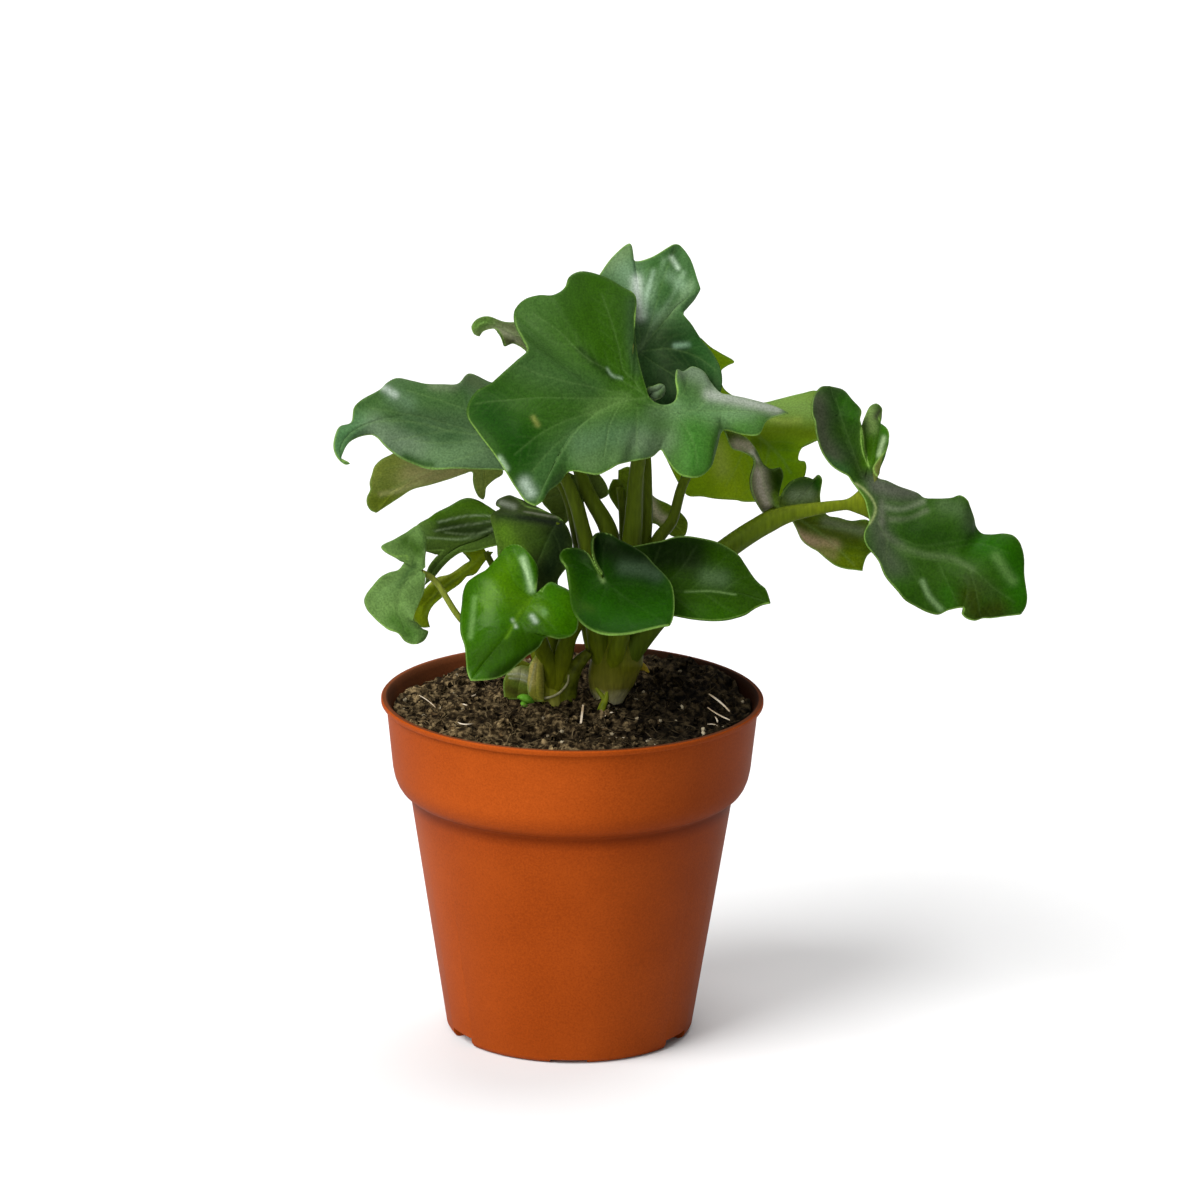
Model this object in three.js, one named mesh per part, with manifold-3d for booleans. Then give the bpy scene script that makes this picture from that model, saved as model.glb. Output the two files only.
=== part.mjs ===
// A potted atom philodendron: wavy, lobed leaves on stalks from two crowns, in a nursery pot.
// Millimetres, +Z up, with the origin on the ground under the middle of the pot and the front at -Y.
import * as THREE from "three";
import { mergeVertices } from "three/addons/utils/BufferGeometryUtils.js";
import Module from "manifold-3d";

const wasm = await Module();
wasm.setup();

// The pot, a moulded 10.5 cm nursery pot
const RIM_RADIUS = 52.5;
const POT_HEIGHT = 95;
const LIP_HEIGHT = 1.6;
const LIP_OVERHANG = 1.4;
const COLLAR_FOOT_RADIUS = 49.3;
const COLLAR_FOOT_HEIGHT = 76;
const SHOULDER_RADIUS = 44.4;
const SHOULDER_HEIGHT = 67.5;
const FOOT_RADIUS = 33.9;
const FOOT_CORNER = 1.6;
const FOOT_RING = 2.2;
const WALL = 1.2;
const FLOOR_HEIGHT = 3;
const GATE_STUB_RADIUS = 4;
const POT_SIDES = 36;
const SLOT_WIDTH = 10.2;
const SLOT_HEIGHT = 2.8;
const NOTCH_HEIGHT = 1.1;
const DRAIN_RADIUS = 3;
const DRAIN_CIRCLE = 21;
const DRAIN_COUNT = 8;

// The potting mix
const MIX_EDGE_HEIGHT = 90.9;
const MIX_MOUND = 2.4;
const MIX_RINGS = 4;
const MIX_LUMPS = 0.45;

// The plant
const BLADE_THICKNESS = 0.6;
const RING_AT = [0.55, 1];
const STALK_SIDES = 6;
const ROOT_SIDES = 5;
const CLEARANCE = 0.3;
const WELD = 1e-4;
const SLIVER = 0.01;

// The plant is set out as it is seen from the front, from a little above: a point is given by how
// far it lies across and up that view, and how far it stands in front of the pot's axis.
const SIGHT_TILT = THREE.MathUtils.degToRad(15.6);
const SIGHT_DISTANCE = 1833;
const SIGHT_ACROSS = 7.3;
const SIGHT_UP = 118;

const ORANGE = new THREE.MeshStandardMaterial({ color: 0xb9561f, roughness: 0.5 });
const SOIL = new THREE.MeshStandardMaterial({ color: 0x2d2319, roughness: 1 });
const LEAF_GREEN = new THREE.MeshStandardMaterial({ color: 0x2a5a12, roughness: 0.4 });
const YOUNG_GREEN = new THREE.MeshStandardMaterial({ color: 0x4c8c0c, roughness: 0.35 });
const STALK_GREEN = new THREE.MeshStandardMaterial({ color: 0x56660c, roughness: 0.5 });
const CROWN_GREEN = new THREE.MeshStandardMaterial({ color: 0x8a8a50, roughness: 0.55 });
const SHEATH_PALE = new THREE.MeshStandardMaterial({ color: 0xb9b070, roughness: 0.6 });

function seen([across, up, front]) {
  const sin = Math.sin(SIGHT_TILT);
  const cos = Math.cos(SIGHT_TILT);
  const near = front * cos + ((up + front * sin) / cos) * sin;
  const shrink = 1 - near / SIGHT_DISTANCE;
  const x = SIGHT_ACROSS + (across - SIGHT_ACROSS) * shrink;
  const height = SIGHT_UP + (up - SIGHT_UP) * shrink;
  return new THREE.Vector3(x, -front, (height + front * sin) / cos);
}

function solidOf(geometry) {
  const bare = new THREE.BufferGeometry();
  bare.setAttribute("position", geometry.getAttribute("position"));
  bare.setIndex(geometry.index);
  const welded = mergeVertices(bare, WELD);
  return new wasm.Manifold(
    new wasm.Mesh({
      numProp: 3,
      vertProperties: welded.attributes.position.array,
      triVerts: new Uint32Array(welded.index.array),
    }),
  );
}

function geometryOf(solid) {
  const mesh = solid.getMesh();
  const geometry = new THREE.BufferGeometry();
  geometry.setAttribute("position", new THREE.BufferAttribute(mesh.vertProperties, 3));
  geometry.setIndex(new THREE.BufferAttribute(mesh.triVerts, 1));
  geometry.computeVertexNormals();
  return geometry;
}

// Cuts every other solid out of one, and keeps the largest piece that is left.
function carve(solid, cutters) {
  const rest = cutters.reduce((left, cutter) => left.subtract(cutter), solid).simplify(SLIVER);
  return rest.decompose().reduce((best, piece) => (piece.volume() > best.volume() ? piece : best));
}

const plant = new THREE.Group();

function place(name, solid, material) {
  const mesh = new THREE.Mesh(geometryOf(solid), material);
  mesh.name = name;
  plant.add(mesh);
}

// A round profile turned about the vertical axis.
function turned(profile, sides) {
  const points = profile.map(([radius, height]) => new THREE.Vector2(radius, height));
  return solidOf(new THREE.LatheGeometry(points, sides).rotateX(Math.PI / 2));
}

// The pot's wall, inside and out, from the foot ring to the rolled lip.
const COLLAR_TOP_RADIUS = RIM_RADIUS - LIP_OVERHANG;
const LIP_FOOT = POT_HEIGHT - LIP_HEIGHT;
const OUTSIDE = [
  [FOOT_RADIUS - FOOT_CORNER, 0],
  [FOOT_RADIUS - 0.3 * FOOT_CORNER, 0.3 * FOOT_CORNER],
  [FOOT_RADIUS + 0.2, FOOT_CORNER],
  [SHOULDER_RADIUS, SHOULDER_HEIGHT],
  [SHOULDER_RADIUS + 1.7, SHOULDER_HEIGHT + 1.5],
  [SHOULDER_RADIUS + 3.3, SHOULDER_HEIGHT + 3.2],
  [COLLAR_FOOT_RADIUS - 0.5, COLLAR_FOOT_HEIGHT - 2.4],
  [COLLAR_FOOT_RADIUS, COLLAR_FOOT_HEIGHT],
  [COLLAR_TOP_RADIUS, LIP_FOOT],
  [RIM_RADIUS, LIP_FOOT + 0.2],
  [RIM_RADIUS, POT_HEIGHT - 0.3],
  [RIM_RADIUS - 0.3, POT_HEIGHT],
];
const INSIDE = [
  [COLLAR_TOP_RADIUS, POT_HEIGHT],
  [COLLAR_TOP_RADIUS - WALL, LIP_FOOT],
  [COLLAR_FOOT_RADIUS - WALL, COLLAR_FOOT_HEIGHT + 0.3],
  [SHOULDER_RADIUS + 0.6, SHOULDER_HEIGHT + 2.6],
  [SHOULDER_RADIUS - WALL, SHOULDER_HEIGHT + 0.6],
  [FOOT_RADIUS - WALL + 0.2, FLOOR_HEIGHT + WALL],
];

function pot() {
  // The stub of the moulding gate stands on the ground in the middle, level with the foot ring.
  const under = [
    [0, 0],
    [GATE_STUB_RADIUS, 0],
    [GATE_STUB_RADIUS + 0.4, FLOOR_HEIGHT],
    [FOOT_RADIUS - FOOT_CORNER - FOOT_RING, FLOOR_HEIGHT],
    [FOOT_RADIUS - FOOT_CORNER - FOOT_RING + 0.4, 0],
  ];
  const body = turned([...under, ...OUTSIDE, ...INSIDE, [0, FLOOR_HEIGHT + WALL]], POT_SIDES);
  const cutters = [];
  for (let i = 0; i < 6; i++) {
    const height = i % 3 === 0 ? NOTCH_HEIGHT : SLOT_HEIGHT;
    const slot = new THREE.BoxGeometry(8, SLOT_WIDTH, 2 * height);
    slot.translate(FOOT_RADIUS - FOOT_RING, 0, 0);
    slot.rotateZ((i * Math.PI) / 3 - Math.PI / 2);
    cutters.push(solidOf(slot));
  }
  for (let i = 0; i < DRAIN_COUNT; i++) {
    const drain = new THREE.CylinderGeometry(DRAIN_RADIUS, DRAIN_RADIUS, 4 * WALL, 8);
    drain.rotateX(Math.PI / 2);
    drain.translate(DRAIN_CIRCLE, 0, FLOOR_HEIGHT + WALL / 2);
    drain.rotateZ(((i + 0.5) * 2 * Math.PI) / DRAIN_COUNT);
    cutters.push(solidOf(drain));
  }
  return carve(body, cutters);
}

// The top of the mix is a low mound with a few lumps, flat enough at the edge to meet the wall.
function mixHeight(x, y) {
  const reach = Math.min(1, Math.hypot(x, y) / COLLAR_TOP_RADIUS);
  const lumps = Math.sin(0.31 * x + 1.3) * Math.cos(0.27 * y - 0.4) + 0.6 * Math.sin(0.19 * (x - y));
  return MIX_EDGE_HEIGHT + MIX_MOUND * (1 - reach ** 2) + MIX_LUMPS * lumps * (1 - reach ** 4);
}

function pottingMix() {
  const wall = INSIDE.slice(1).reverse();
  const profile = [[0, FLOOR_HEIGHT + WALL + CLEARANCE]];
  profile.push([wall[0][0] - 2 * CLEARANCE, FLOOR_HEIGHT + WALL + CLEARANCE]);
  for (const [radius, height] of wall.slice(1, -1)) profile.push([radius - CLEARANCE, height]);
  const slope = (wall.at(-1)[0] - wall.at(-2)[0]) / (wall.at(-1)[1] - wall.at(-2)[1]);
  const edge = wall.at(-2)[0] + slope * (MIX_EDGE_HEIGHT - wall.at(-2)[1]) - 1.5 * CLEARANCE;
  for (let i = MIX_RINGS; i >= 0; i--) profile.push([(edge * i) / MIX_RINGS, MIX_EDGE_HEIGHT]);
  const points = profile.map(([radius, height]) => new THREE.Vector2(radius, height));
  const geometry = new THREE.LatheGeometry(points, POT_SIDES).rotateX(Math.PI / 2);
  const position = geometry.getAttribute("position");
  for (let i = 0; i < position.count; i++) {
    const onTop = position.getZ(i) > MIX_EDGE_HEIGHT - 0.01;
    if (onTop) position.setZ(i, mixHeight(position.getX(i), position.getY(i)));
  }
  return solidOf(geometry);
}

// A stalk, crown or root swept along a curve. Its radius is given at even steps from foot to end,
// and deep, where it differs from 1, flattens the end from front to back.
function swept(points, radii, { sides = STALK_SIDES, steps = 8, grown = 0, deep = 1 } = {}) {
  const path = new THREE.CatmullRomCurve3(points.map(seen));
  const ring = [];
  for (let i = 0; i < sides; i++) {
    const angle = (-i * 2 * Math.PI) / sides;
    ring.push(new THREE.Vector2(Math.cos(angle), Math.sin(angle)));
  }
  const geometry = new THREE.ExtrudeGeometry(new THREE.Shape(ring), {
    steps,
    bevelEnabled: false,
    extrudePath: path,
  });
  const centres = path.getSpacedPoints(steps);
  const position = geometry.getAttribute("position");
  for (let i = 0; i < position.count; i++) {
    const corner = new THREE.Vector3().fromBufferAttribute(position, i);
    const distances = centres.map((centre) => centre.distanceTo(corner));
    const nearest = distances.indexOf(Math.min(...distances));
    const along = (nearest / steps) * (radii.length - 1);
    const before = Math.min(Math.floor(along), radii.length - 2);
    const radius = THREE.MathUtils.lerp(radii[before], radii[before + 1], along - before) + grown;
    const flatness = THREE.MathUtils.lerp(1, deep, (nearest / steps) ** 4);
    const offset = corner.sub(centres[nearest]).multiplyScalar(radius);
    offset.y *= flatness;
    position.setXYZ(i, ...centres[nearest].clone().add(offset).toArray());
  }
  return solidOf(geometry);
}

// A blade is a row of ribs. Each bay lists, from the far end to the tip, the spine that the ribs
// start from and the margins on either side that they run out to, as points across and up the
// view, with a third number where a point stands in front of (or behind) the blade's plane.
function ribs(leaf) {
  const tip = [leaf.tip];
  const lists = ["spine", "a", "b"].map((side) => [...leaf.bays.flatMap((bay) => bay[side]), ...tip]);
  const curves = lists.map(
    (list) => new THREE.CatmullRomCurve3(list.map(([x, up, lift = 0]) => new THREE.Vector3(x, up, lift))),
  );
  const first = [0, 0, 0];
  const rows = [];
  for (const bay of leaf.bays) {
    const lengths = [bay.spine.length, bay.a.length, bay.b.length];
    const count = Math.max(...lengths);
    for (let i = 0; i < count; i++) {
      const along = count > 1 ? i / (count - 1) : 0;
      rows.push(lengths.map((length, side) => first[side] + along * (length - 1)));
    }
    lengths.forEach((length, side) => (first[side] += length));
  }
  rows.push([...first]);
  return rows.map((row) =>
    row.map((index, side) => curves[side].getPoint(index / (lists[side].length - 1))),
  );
}

function bladePoint(leaf, foot, edge, reach) {
  const across = THREE.MathUtils.lerp(foot.x, edge.x, reach);
  const up = THREE.MathUtils.lerp(foot.y, edge.y, reach);
  const [originAcross, originUp] = leaf.bays[0].spine[0];
  const plane = leaf.lean[0] * (across - originAcross) + leaf.lean[1] * (up - originUp);
  const rib = Math.hypot(edge.x - foot.x, edge.y - foot.y);
  const arch = leaf.rise * rib * 4 * reach * (1 - reach);
  return seen([across, up, leaf.front + plane + foot.z * (1 - reach) + edge.z * reach ** 1.5 + arch]);
}

function blade(leaf, thickness) {
  const rows = ribs(leaf).map(([foot, a, b]) => [
    ...RING_AT.toReversed().map((reach) => bladePoint(leaf, foot, a, reach)),
    bladePoint(leaf, foot, foot, 0),
    ...RING_AT.map((reach) => bladePoint(leaf, foot, b, reach)),
  ]);
  const width = rows[0].length;
  const corners = new THREE.BufferGeometry().setFromPoints(rows.flat());
  const faces = [];
  for (let i = 0; i + 1 < rows.length; i++) {
    for (let j = 0; j + 1 < width; j++) {
      const here = i * width + j;
      faces.push(here, here + width, here + width + 1);
      faces.push(here, here + width + 1, here + 1);
    }
  }
  corners.setIndex(faces);
  const sheet = mergeVertices(corners, WELD);
  const points = [];
  for (let i = 0; i < sheet.attributes.position.count; i++) {
    points.push(new THREE.Vector3().fromBufferAttribute(sheet.attributes.position, i));
  }
  const triangles = [];
  for (let i = 0; i < sheet.index.count; i += 3) {
    const triangle = [0, 1, 2].map((k) => sheet.index.getX(i + k));
    if (new Set(triangle).size === 3) triangles.push(triangle);
  }
  const normals = points.map(() => new THREE.Vector3());
  for (const [i, j, k] of triangles) {
    const first = points[j].clone().sub(points[i]);
    const normal = first.cross(points[k].clone().sub(points[i]));
    [i, j, k].forEach((corner) => normals[corner].add(normal));
  }
  normals.forEach((normal) => normal.normalize());

  // Each triangle is a slab as thick as the blade, and the slabs are joined into one solid.
  const shift = (i, side) => points[i].clone().addScaledVector(normals[i], (side * thickness) / 2);
  const slabs = triangles.map((triangle) => {
    const upper = triangle.map((i) => shift(i, 1).toArray());
    const under = triangle.map((i) => shift(i, -1).toArray());
    return wasm.Manifold.hull([...upper, ...under]);
  });
  return wasm.Manifold.union(slabs).simplify(SLIVER);
}

// The main leaf faces the front. Its spine runs in from the lobe on the right, under the stalk.
const MAIN_LEAF = {
  name: "leaf_main",
  front: 9,
  lean: [-0.06, -0.5],
  rise: 0.05,
  bays: [
    {
      spine: [[40, 170.5]],
      a: [[59.2, 170.4, -7], [55.8, 172.1, -6], [48, 174.3, -4], [43, 175.3, -3]],
      b: [[59.2, 170.4, -7], [53.3, 168.3, -2], [50.9, 164.3, 1], [46.5, 164.4]],
    },
    {
      spine: [[40, 170.5], [33, 170], [28, 170]],
      a: [[40.4, 175.8, -3], [37.5, 178.7, -5], [35.4, 181.8, -6], [32.4, 183.1, -6], [29.6, 181.7, -3],
        [28, 182.3, -1], [27.6, 179.8], [28.2, 176], [27.4, 173.4]],
      b: [[41, 165.4, -3], [39.2, 160, -2], [37.7, 155.2], [35, 152.6, 1], [32, 152.2, 2], [29.2, 152.9, 1],
        [27.1, 154.9], [25.2, 157.7, -1], [23.8, 159.8, -2]],
    },
    {
      spine: [[25, 170.5], [19, 172]],
      a: [[25, 172.4], [22.4, 172.9], [20.5, 174.4]],
      b: [[21.5, 158, -2], [18, 157], [15, 156.4]],
    },
    {
      spine: [[17, 172.5], [12, 172.8], [9, 172]],
      a: [[19.5, 177], [18.3, 181], [16.5, 189, -1], [16, 196, -2], [16.2, 202.7, -4], [12.6, 205.1, -4],
        [7, 208.1, -3], [1, 209.3, -2], [-2.3, 207.7, 0], [-3.5, 204.7, 1], [-6.5, 202.7, 2],
        [-10.5, 202.6], [-14.9, 201.1, -3], [-17.4, 198, -4], [-17.3, 194.6, -2], [-15, 190, 2],
        [-13.8, 187.2, 3]],
      b: [[12, 155.6, 2], [9, 153.9, 2], [6.3, 152.7, 2]],
    },
    {
      spine: [[5, 169.5], [0, 165], [-4, 159], [-7.5, 152], [-9.5, 147]],
      a: [[-16.5, 184.5, 2], [-20.1, 181.2], [-23.9, 177.8, -3], [-27.5, 175.8, -5], [-30, 172, -5],
        [-30.3, 168.8, -4], [-27.5, 164.4, -2], [-23.3, 159], [-19.5, 153.5, 1], [-16.5, 148.8],
        [-13.6, 145]],
      b: [[3, 153.1, 1], [0, 153.6], [-2.2, 153.2, -2], [-4.3, 150.5, -3], [-7.5, 147.8, -1],
        [-9.1, 145.1]],
    },
  ],
  tip: [-11, 143.8],
};

const BACK_TOP_LEAF = {
  name: "leaf_back_top",
  front: -10,
  lean: [0.1, -0.35],
  rise: 0.06,
  bays: [
    {
      spine: [[16.9, 186.4]],
      a: [[15, 184], [10, 186], [5, 191], [2.5, 197, -2], [3, 203, -4], [6.5, 208.8, -4], [9.9, 213.5, -2],
        [14.6, 217.2]],
      b: [[16.4, 182.6], [16.2, 176.6], [19.4, 171.2], [25.4, 168.6, 1], [32, 168.8, 2], [37, 171.4, 2],
        [40.2, 176, 1], [40.6, 180.9]],
    },
    {
      spine: [[18.5, 188.3], [23, 193.5], [27.9, 200.1], [31.5, 202.8]],
      a: [[15.3, 215.3], [15.4, 213.6], [16.1, 212.4, 2], [20.4, 213.4, 2], [25.4, 216.4], [27.1, 217.2, -2],
        [28.5, 216.8, -3], [31.3, 213.4, -2], [33.6, 207.2]],
      b: [[38.6, 185.9, -2], [34.6, 190.9, -2], [31.9, 195.1], [29.8, 197.6, 1], [30.7, 199.4, -2],
        [32.6, 201.7, -2]],
    },
  ],
  tip: [34.4, 204.8],
};

const LEFT_UPPER_LEAF = {
  name: "leaf_left_upper",
  front: 2,
  lean: [-0.08, -0.45],
  rise: 0.06,
  bays: [
    {
      spine: [[-19, 163]],
      a: [[-15, 165], [-12, 170], [-15, 175], [-20, 177.5, -3], [-23.9, 178.2, -4], [-29.8, 180.5, -4],
        [-33.1, 177.6]],
      b: [[-15, 162], [-11, 158], [-13, 154.5], [-17, 153.5], [-20.9, 153.8], [-25.9, 153.9]],
    },
    {
      spine: [[-24, 163.8], [-35, 166.4], [-43.5, 168.5], [-50, 168.3], [-57, 166.8], [-62, 164.3],
        [-65.3, 160.5], [-65.9, 157.2]],
      a: [[-37, 177.5], [-42, 177.6, -2], [-45.1, 178.2, -3], [-49.9, 179, -4], [-52.5, 177.8, -3],
        [-54.8, 175.7], [-59.7, 172.9, -1], [-61.7, 170.7, -3], [-62.5, 166.5, -3], [-65.5, 165.4, -2],
        [-66.8, 163.3], [-67.4, 159.9], [-66.6, 157.2], [-65, 155.4], [-63.7, 154.8]],
      b: [[-34, 154, 2], [-38.7, 153.7, 2], [-41.8, 154, 1], [-44.9, 155.1], [-48, 156.4], [-50.7, 158.1],
        [-53, 160], [-55, 162.3, -1], [-56.5, 163.2, -2], [-58.5, 163.1, -2], [-61.2, 162.2, -1],
        [-63.3, 160.6], [-64.6, 158.3], [-65.1, 156]],
    },
  ],
  tip: [-62.6, 155.1],
};

const LEFT_UNDER_LEAF = {
  name: "leaf_left_under",
  front: -8,
  lean: [0, 0.5],
  rise: -0.05,
  bays: [
    {
      spine: [[-25, 158]],
      a: [[-23, 160], [-24, 163], [-28, 165], [-34, 165], [-40, 163.5]],
      b: [[-22.5, 156], [-20, 153], [-22.7, 150.9], [-24.7, 148.8], [-25.4, 145.6], [-26.7, 146.2],
        [-27.8, 148], [-28.4, 150.3], [-28.7, 153.2]],
    },
    {
      spine: [[-29, 157], [-38, 154], [-47, 149.5], [-52, 145.5]],
      a: [[-46, 161.5], [-50.9, 157.9], [-54, 156.3], [-55.9, 154.3], [-56.5, 152.4], [-57.2, 149.8],
        [-57, 147.9], [-57.9, 145.7], [-57.9, 144], [-56.9, 142.3]],
      b: [[-30.9, 152.6], [-34.8, 151.2], [-40.3, 149.5], [-45.3, 148.1], [-48.8, 145.8], [-52.7, 143.2]],
    },
  ],
  tip: [-55.2, 141.5],
};

const BACK_LEFT_LEAF = {
  name: "leaf_back_left",
  front: -18,
  lean: [0, 0.3],
  rise: -0.06,
  bays: [
    {
      spine: [[-3, 183]],
      a: [[-1, 186], [0, 192], [-3, 197], [-8, 199]],
      b: [[-2, 180], [-1, 175], [-5, 172], [-10, 174]],
    },
    {
      spine: [[-7, 186], [-12, 189.5], [-18, 192], [-23, 194.6], [-26.5, 194.5], [-28, 192.6]],
      a: [[-12, 197], [-15.9, 195.2], [-20, 195], [-25, 196.5], [-28, 195.5], [-29.3, 193.5],
        [-28.5, 191.5]],
      b: [[-12, 180], [-13, 184.5], [-14.2, 187], [-17.5, 189], [-20, 188.3, 3], [-20.8, 190.5, 2],
        [-22.3, 193], [-24, 193], [-26, 192.3]],
    },
  ],
  tip: [-27, 190.9],
};

const BACK_RIGHT_LEAF = {
  name: "leaf_back_right",
  front: -23,
  lean: [0, 0.25],
  rise: -0.05,
  bays: [
    {
      spine: [[37, 184]],
      a: [[34.6, 191.1], [37.3, 188.7], [40.1, 187], [44, 184.5], [42, 183.4]],
      b: [[34.6, 191.1], [32, 186], [31, 181]],
    },
    {
      spine: [[38, 180], [41, 172]],
      a: [[40.3, 181.8], [41, 177.4], [45, 174.5]],
      b: [[30, 176], [28, 170], [26, 164]],
    },
    {
      spine: [[44, 169], [50, 165], [54, 162.5]],
      a: [[51.7, 173.2, 3], [56.3, 174.2, 4], [60, 175.2, 4], [63.3, 176, 3], [66.8, 176.7], [71, 175, -3],
        [72, 170, -3], [70.5, 165, -2]],
      b: [[25, 159], [26.9, 154.2], [29.5, 149.5], [31.5, 147.2], [35.1, 147], [39, 146.4, 2], [45.2, 146, 3]],
    },
    {
      spine: [[57, 158.5], [60, 154]],
      a: [[67.7, 163.2], [63.1, 160.8], [62.2, 157.4], [63.9, 157], [64.4, 155.5]],
      b: [[46.6, 145.7, 2], [50.3, 145.7], [55, 146]],
    },
  ],
  tip: [63, 149.5],
};

const RIGHT_INNER_LEAF = {
  name: "leaf_right_inner",
  front: -16,
  lean: [-0.08, 0.15],
  rise: -0.06,
  bays: [
    {
      spine: [[44, 162.5]],
      a: [[41.3, 165.4], [43.5, 160.5]],
      b: [[41.3, 165.4], [45, 164.6]],
    },
    {
      spine: [[47, 160.5], [50.5, 157.5], [52.5, 151], [54.5, 146]],
      a: [[46, 159.6], [49.6, 157.5, 1], [48.7, 152.3, 3], [48.9, 149.2, 3], [50.1, 146.1, 2]],
      b: [[47.9, 163.2], [50.5, 160], [52.5, 156], [54.9, 154.6], [57.2, 155.2, -2], [57.9, 153.1, -3],
        [57.3, 150, -2], [56.8, 147.2]],
    },
    {
      spine: [[57, 144], [59.5, 143]],
      a: [[52.7, 142.3], [57, 140], [60.1, 140.6]],
      b: [[57.4, 147.6, 1], [58.1, 149.2, 3], [60, 151.3, 4], [62, 152.3, 4], [64.3, 152.7, 3],
        [66.7, 152.1, 1], [67.4, 153.2], [68, 153.3], [68.8, 152.1], [68.5, 149.4], [68.3, 147.4]],
    },
    {
      spine: [[63, 141], [70, 136], [76, 131]],
      a: [[61.4, 138.8], [63.3, 135], [65.7, 133.1], [67.7, 132], [70.2, 129.9], [72.6, 128.2],
        [75.4, 127.3], [78.1, 127]],
      b: [[68.9, 144.1], [70.6, 142], [73.4, 141.5], [76.9, 140.6], [81.7, 140.8], [84, 137], [83.5, 133],
        [81.5, 130.9], [80.6, 128.5]],
    },
  ],
  tip: [80.3, 126.7],
};

// The right leaf hangs from the long stalk, with one lobe standing up dark and one curled behind it.
const RIGHT_LEAF = {
  name: "leaf_right",
  front: -12.5,
  lean: [0.12, -0.35],
  rise: 0.05,
  bays: [
    {
      spine: [[73, 170]],
      a: [[70.5, 178.1, -1], [68.3, 177.9], [67.1, 176.8], [66, 174.9], [65.5, 172.2, 2], [65.7, 169.9, 2]],
      b: [[70.5, 178.1, -1], [74.1, 177.2, -2], [75.1, 176.5, -2], [76.9, 174.4, -1], [79.5, 171.4],
        [79.2, 168.9, 2]],
    },
    {
      spine: [[75, 163], [77.5, 157.5], [80, 152]],
      a: [[66.5, 168, 2], [66.9, 164.9, 1], [68.5, 159.9], [71.2, 156.1], [73.6, 154.4], [75.9, 153.2]],
      b: [[79.7, 166.6, 2], [80.2, 163.5, 2], [80.5, 160.4, 1], [81.1, 157.4], [81.6, 155.6]],
    },
    {
      spine: [[81.6, 152], [83.5, 149.5]],
      a: [[77, 151.6], [78.8, 149.2], [80.6, 146.6]],
      b: [[81.3, 160, -5], [80.9, 165.8, -5], [80.9, 168.9, -6], [81.2, 171.4, -7], [82.2, 172.8, -8],
        [83.8, 173.3, -9], [85.2, 171.9, -9], [84.2, 168.8, -7], [86.8, 166.4, -4], [87.3, 164.1, -2],
        [86.7, 161, -1], [84.4, 157.9], [82.9, 155.2]],
    },
    {
      spine: [[85.5, 146], [87, 142.5], [90, 138], [95, 134]],
      a: [[81.4, 143.6], [82, 140.4], [80.8, 137.8], [80.6, 135.6, 1], [81.3, 133.8, 1], [84.6, 129.6],
        [86.6, 125.2], [90.1, 121.1]],
      b: [[84.4, 152.7], [86.7, 152], [90.2, 150.4, -1], [95.3, 148.6, -3], [97.2, 147.3, -3],
        [100.3, 147.1, -1]],
    },
    {
      spine: [[101, 131], [107, 128, 2], [113, 123.5, 3], [119, 118.5, 2]],
      a: [[92.1, 118.8, -1], [95.2, 117, -3], [98.3, 115.5, -4], [101.4, 114.8, -4], [104.5, 116.1, -2],
        [108.6, 116.6, 1], [108.1, 115.1, 2], [109.2, 113.9, 2], [111.5, 113.2, 2], [113.8, 113.9, 1],
        [116.2, 114], [120.4, 114.6]],
      b: [[105, 147.4, 1], [107.3, 148.1, 2], [109.2, 146.9, 2], [110, 145, 1], [111.1, 141.9, -1],
        [111.8, 139.2, -3], [113.4, 137.5, -4], [115.9, 137.2, -4], [119.8, 137.5, -3],
        [122.1, 137, -3], [123.7, 135.5, -3], [124.7, 133.2, -3], [125.2, 130.5, -3], [125.3, 126.2, -2],
        [125.8, 122.8, -1], [126.2, 119.8], [125.8, 117.3]],
    },
  ],
  tip: [124.5, 115.1],
};

const FRONT_LEFT_LEAF = {
  name: "leaf_front_left",
  front: 16,
  lean: [0, -0.75],
  rise: 0.07,
  bays: [
    {
      spine: [[-10.7, 119]],
      a: [[-11.1, 120.8], [-10.2, 123.9], [-10.2, 126.7, 1], [-11.6, 129.4, 2], [-13.6, 131.7, 2],
        [-15.6, 133, 1], [-17.5, 133], [-19.4, 132], [-20.6, 130.4], [-22.9, 127.7]],
      b: [[-9.1, 119.8], [-8, 121.7], [-6.4, 122.7], [-4.1, 121.8], [-1.3, 120.3]],
    },
    {
      spine: [[-12.5, 116], [-15.5, 111.5], [-20, 106], [-24.5, 100.5]],
      a: [[-24.4, 126], [-27.1, 124.4, -1], [-29.8, 122.2, -3], [-30.8, 119.5, -4], [-31.1, 116.4, -5],
        [-31.5, 112.2, -5], [-31.4, 108.3, -4], [-30.2, 104.4, -2], [-29.8, 100.6, -1], [-29.4, 97.1]],
      b: [[0.5, 117], [1.3, 113.5, -1], [1.2, 110.4, -2], [0.8, 109.2, -2], [-0.5, 107.8, -2],
        [-4, 107, -2], [-7.5, 107.5, -2], [-9.8, 104.3, -2], [-12.9, 102, -1], [-15.6, 99.6],
        [-17.5, 97.8], [-20.2, 96.1], [-22.9, 95.4], [-26.8, 95]],
    },
  ],
  tip: [-28.5, 95],
};

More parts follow.
